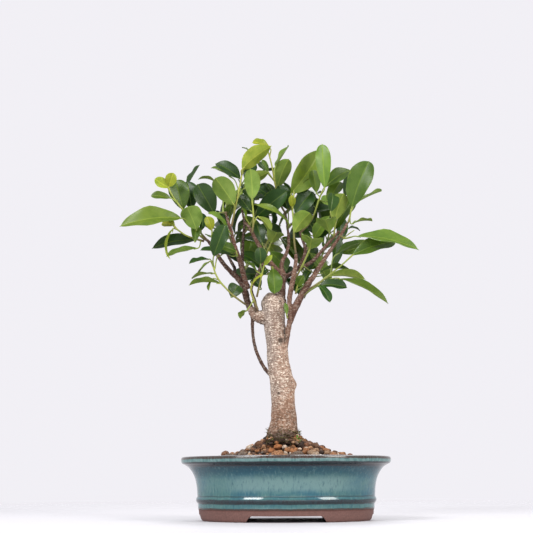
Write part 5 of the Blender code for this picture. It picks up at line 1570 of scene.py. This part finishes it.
def build_moss(look, rng):
    """A dark cushion of moss in front of the foot of the trunk, and tufts round it."""
    surface = Surface()
    x, y = MOSS_MIDDLE
    bm = bmesh.new()
    bmesh.ops.create_icosphere(bm, subdivisions=4, radius=1.0)
    middle = Vector((x, y, soil_height(x, y + MOSS_HALF_SIZE[1] / 2) + MOSS_HALF_SIZE[2]))
    spots = []
    for vert in bm.verts:
        swell = 0.88 + 0.4 * noise.fractal(vert.co * 2.6, 0.8, 2.0, 3)
        spots.append(Vector([c * h * swell for c, h in zip(vert.co, MOSS_HALF_SIZE)]) + middle)
    faces = [tuple(v.index for v in f.verts) for f in bm.faces]
    bm.free()
    surface.add(spots, faces, 0, MOSS_TINTS[0])
    for _ in range(CUSHION_TUFTS):
        spot = rng.choice(spots)
        way = (spot - middle).normalized()
        if way.z > -0.2:
            blade_of_moss(surface, rng, spot, way, (0.8, 2.2))
    for _ in range(FOOT_TUFTS):
        a = rng.uniform(0, 2 * math.pi)
        z = 78.0 + 17.0 * rng.random() ** 1.5 + 3.0 * math.sin(3 * a)
        radius = 19.0 - 0.2 * max(0.0, z - 80.0) - 0.004 * max(0.0, z - 86.0) ** 2
        spot = Vector((-2.6 + radius * math.cos(a), radius * math.sin(a), z))
        if noise.noise(spot * 0.13) < -0.06:
            continue
        way = Vector((math.cos(a), math.sin(a), rng.uniform(-0.2, 0.7))).normalized()
        blade_of_moss(surface, rng, spot, way, (1.0, 2.8))
    give(new_object("moss_tufts", surface.mesh("moss_tufts", 180), look), "moss", "moss_cushion")


def build_weed(leafy, rng):
    """A small weed that grows beside the moss: thin stalks, each with one leaf."""
    weed = Surface()
    foot = Vector(WEED_FOOT)
    for lean_x, lean_y, size, wide in WEED:
        top = foot + Vector((lean_x, lean_y, size))
        knee = foot.lerp(top, 0.55) + Vector((lean_x * 0.1, 0, 0.6))
        spots, faces = tube([foot, knee, top], (0.3, 0.25, 0.2), 6)
        weed.add(spots, faces, 2, WEED_TINT)
        out = Vector((lean_x, lean_y - 1.5, 1.8)).normalized()
        side = out.cross(Vector((0, 0, 1))).normalized()
        up = side.cross(out)
        spots, faces = [], []
        for t in (0.0, 0.25, 0.5, 0.75, 1.0):
            half = max(wide * math.sin(math.pi * t) ** 0.8 if 0 < t < 1 else 0.0, 0.08)
            middle = top + out * (t * wide * 2.6) + up * (0.5 * math.sin(math.pi * t))
            spots += [middle - side * half, middle + up * 0.12, middle + side * half, middle - up * 0.12]
        for row in range(4):
            for k in range(4):
                a, b = row * 4 + k, row * 4 + (k + 1) % 4
                faces.append((a, b, b + 4, a + 4))
        faces += [(3, 2, 1, 0), (16, 17, 18, 19)]
        weed.add(spots, faces, 0, varied(WEED_TINT, rng, 0.2))
    mesh = weed.mesh("weed_sprout")
    point_attribute(mesh, "tint_under", "FLOAT_COLOR", weed.tints)
    give(new_object("weed_sprout", mesh, *leafy), "leaf_young")


# Studio ----------------------------------------------------------------------------------------------------


def build_floor():
    bm = bmesh.new()
    bmesh.ops.create_circle(bm, cap_ends=True, segments=96, radius=6.0)
    made = Look("floor", Roughness=0.6, Specular_IOR_Level=0.2)
    fine = made.noise(made.place(), 30.0, 3.0)
    made.link(made.mix(fine, (0.56, 0.555, 0.575), (0.59, 0.585, 0.605)), "Base Color")
    spot = made.node("TexCoord").outputs["Object"]
    away = made.node("VectorMath", {0: spot}, operation="LENGTH").outputs["Value"]
    made.link(made.step(away, FLOOR_FADE[0], FLOOR_FADE[1], 1.0, 0.0), "Alpha")
    new_object("floor", mesh_of("floor", bm), made.material)


def softbox(name, spot, aim, size, energy, colour):
    data = bpy.data.lights.new(name, "AREA")
    data.shape = "RECTANGLE"
    data.size, data.size_y = size
    data.energy = energy
    data.color = colour
    made = bpy.data.objects.new(name, data)
    made.location = spot
    made.rotation_euler = (Vector(aim) - Vector(spot)).to_track_quat("-Z", "Y").to_euler()
    bpy.context.scene.collection.objects.link(made)


def build_world():
    world = bpy.data.worlds.new("studio")
    bpy.context.scene.world = world
    world.use_nodes = True
    back = world.node_tree.nodes["Background"]
    back.inputs["Color"].default_value = (*BACKDROP, 1.0)
    back.inputs["Strength"].default_value = 1.0


def build_camera():
    pitch, roll = math.radians(CAMERA_PITCH), math.radians(CAMERA_ROLL)
    yaw = math.atan(PICTURE_SHIFT / PICTURE_DISTANCE)
    ahead = Vector((-math.sin(yaw) * math.cos(pitch), math.cos(yaw) * math.cos(pitch), math.sin(pitch)))
    right = ahead.cross(Vector((0, 0, 1))).normalized()
    up = right.cross(ahead)
    level = right * math.cos(roll) - up * math.sin(roll)
    above = right * math.sin(roll) + up * math.cos(roll)
    data = bpy.data.cameras.new("camera")
    data.sensor_width = SENSOR_WIDTH
    data.lens = PICTURE_DISTANCE / PICTURE_WIDTH * SENSOR_WIDTH
    data.clip_end = 50
    made = bpy.data.objects.new("camera", data)
    turn = Matrix((level, above, -ahead)).transposed().to_4x4()
    turn.translation = Vector((0, -EYE_DISTANCE * MM, EYE_HEIGHT * MM)) + ROOT
    made.matrix_world = turn
    bpy.context.scene.collection.objects.link(made)
    bpy.context.scene.camera = made


def main():
    build_camera()
    build_world()
    build_floor()
    for light in LIGHTS:
        softbox(*light)
    limbs = limb_rows()
    crown = Crown(wood_samples(limbs))
    shoots = front_shoots(crown)
    shoots.update(inner_shoots(crown))
    looks = (leaf_look("leaf_upper", False), leaf_look("leaf_underside", True), stem_look())
    rng = random.Random(LEAF_SEED)
    for name, (path, leaves) in shoots.items():
        make_shoot(name, path, leaves, looks, rng)
    build_wood(bark_look())
    build_pot(glaze_look())
    build_soil(soil_look())
    stones = stone_look()
    build_gravel(stones, build_stones(stones))
    rng = random.Random(MOSS_SEED)
    build_moss(moss_look(), rng)
    build_weed(looks, rng)
    net = screen_look()
    for name in ("drain_screen_left", "drain_screen_right"):
        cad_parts[name].material_slots[0].material = net
    bpy.context.scene.view_settings.view_transform = "Standard"


main()
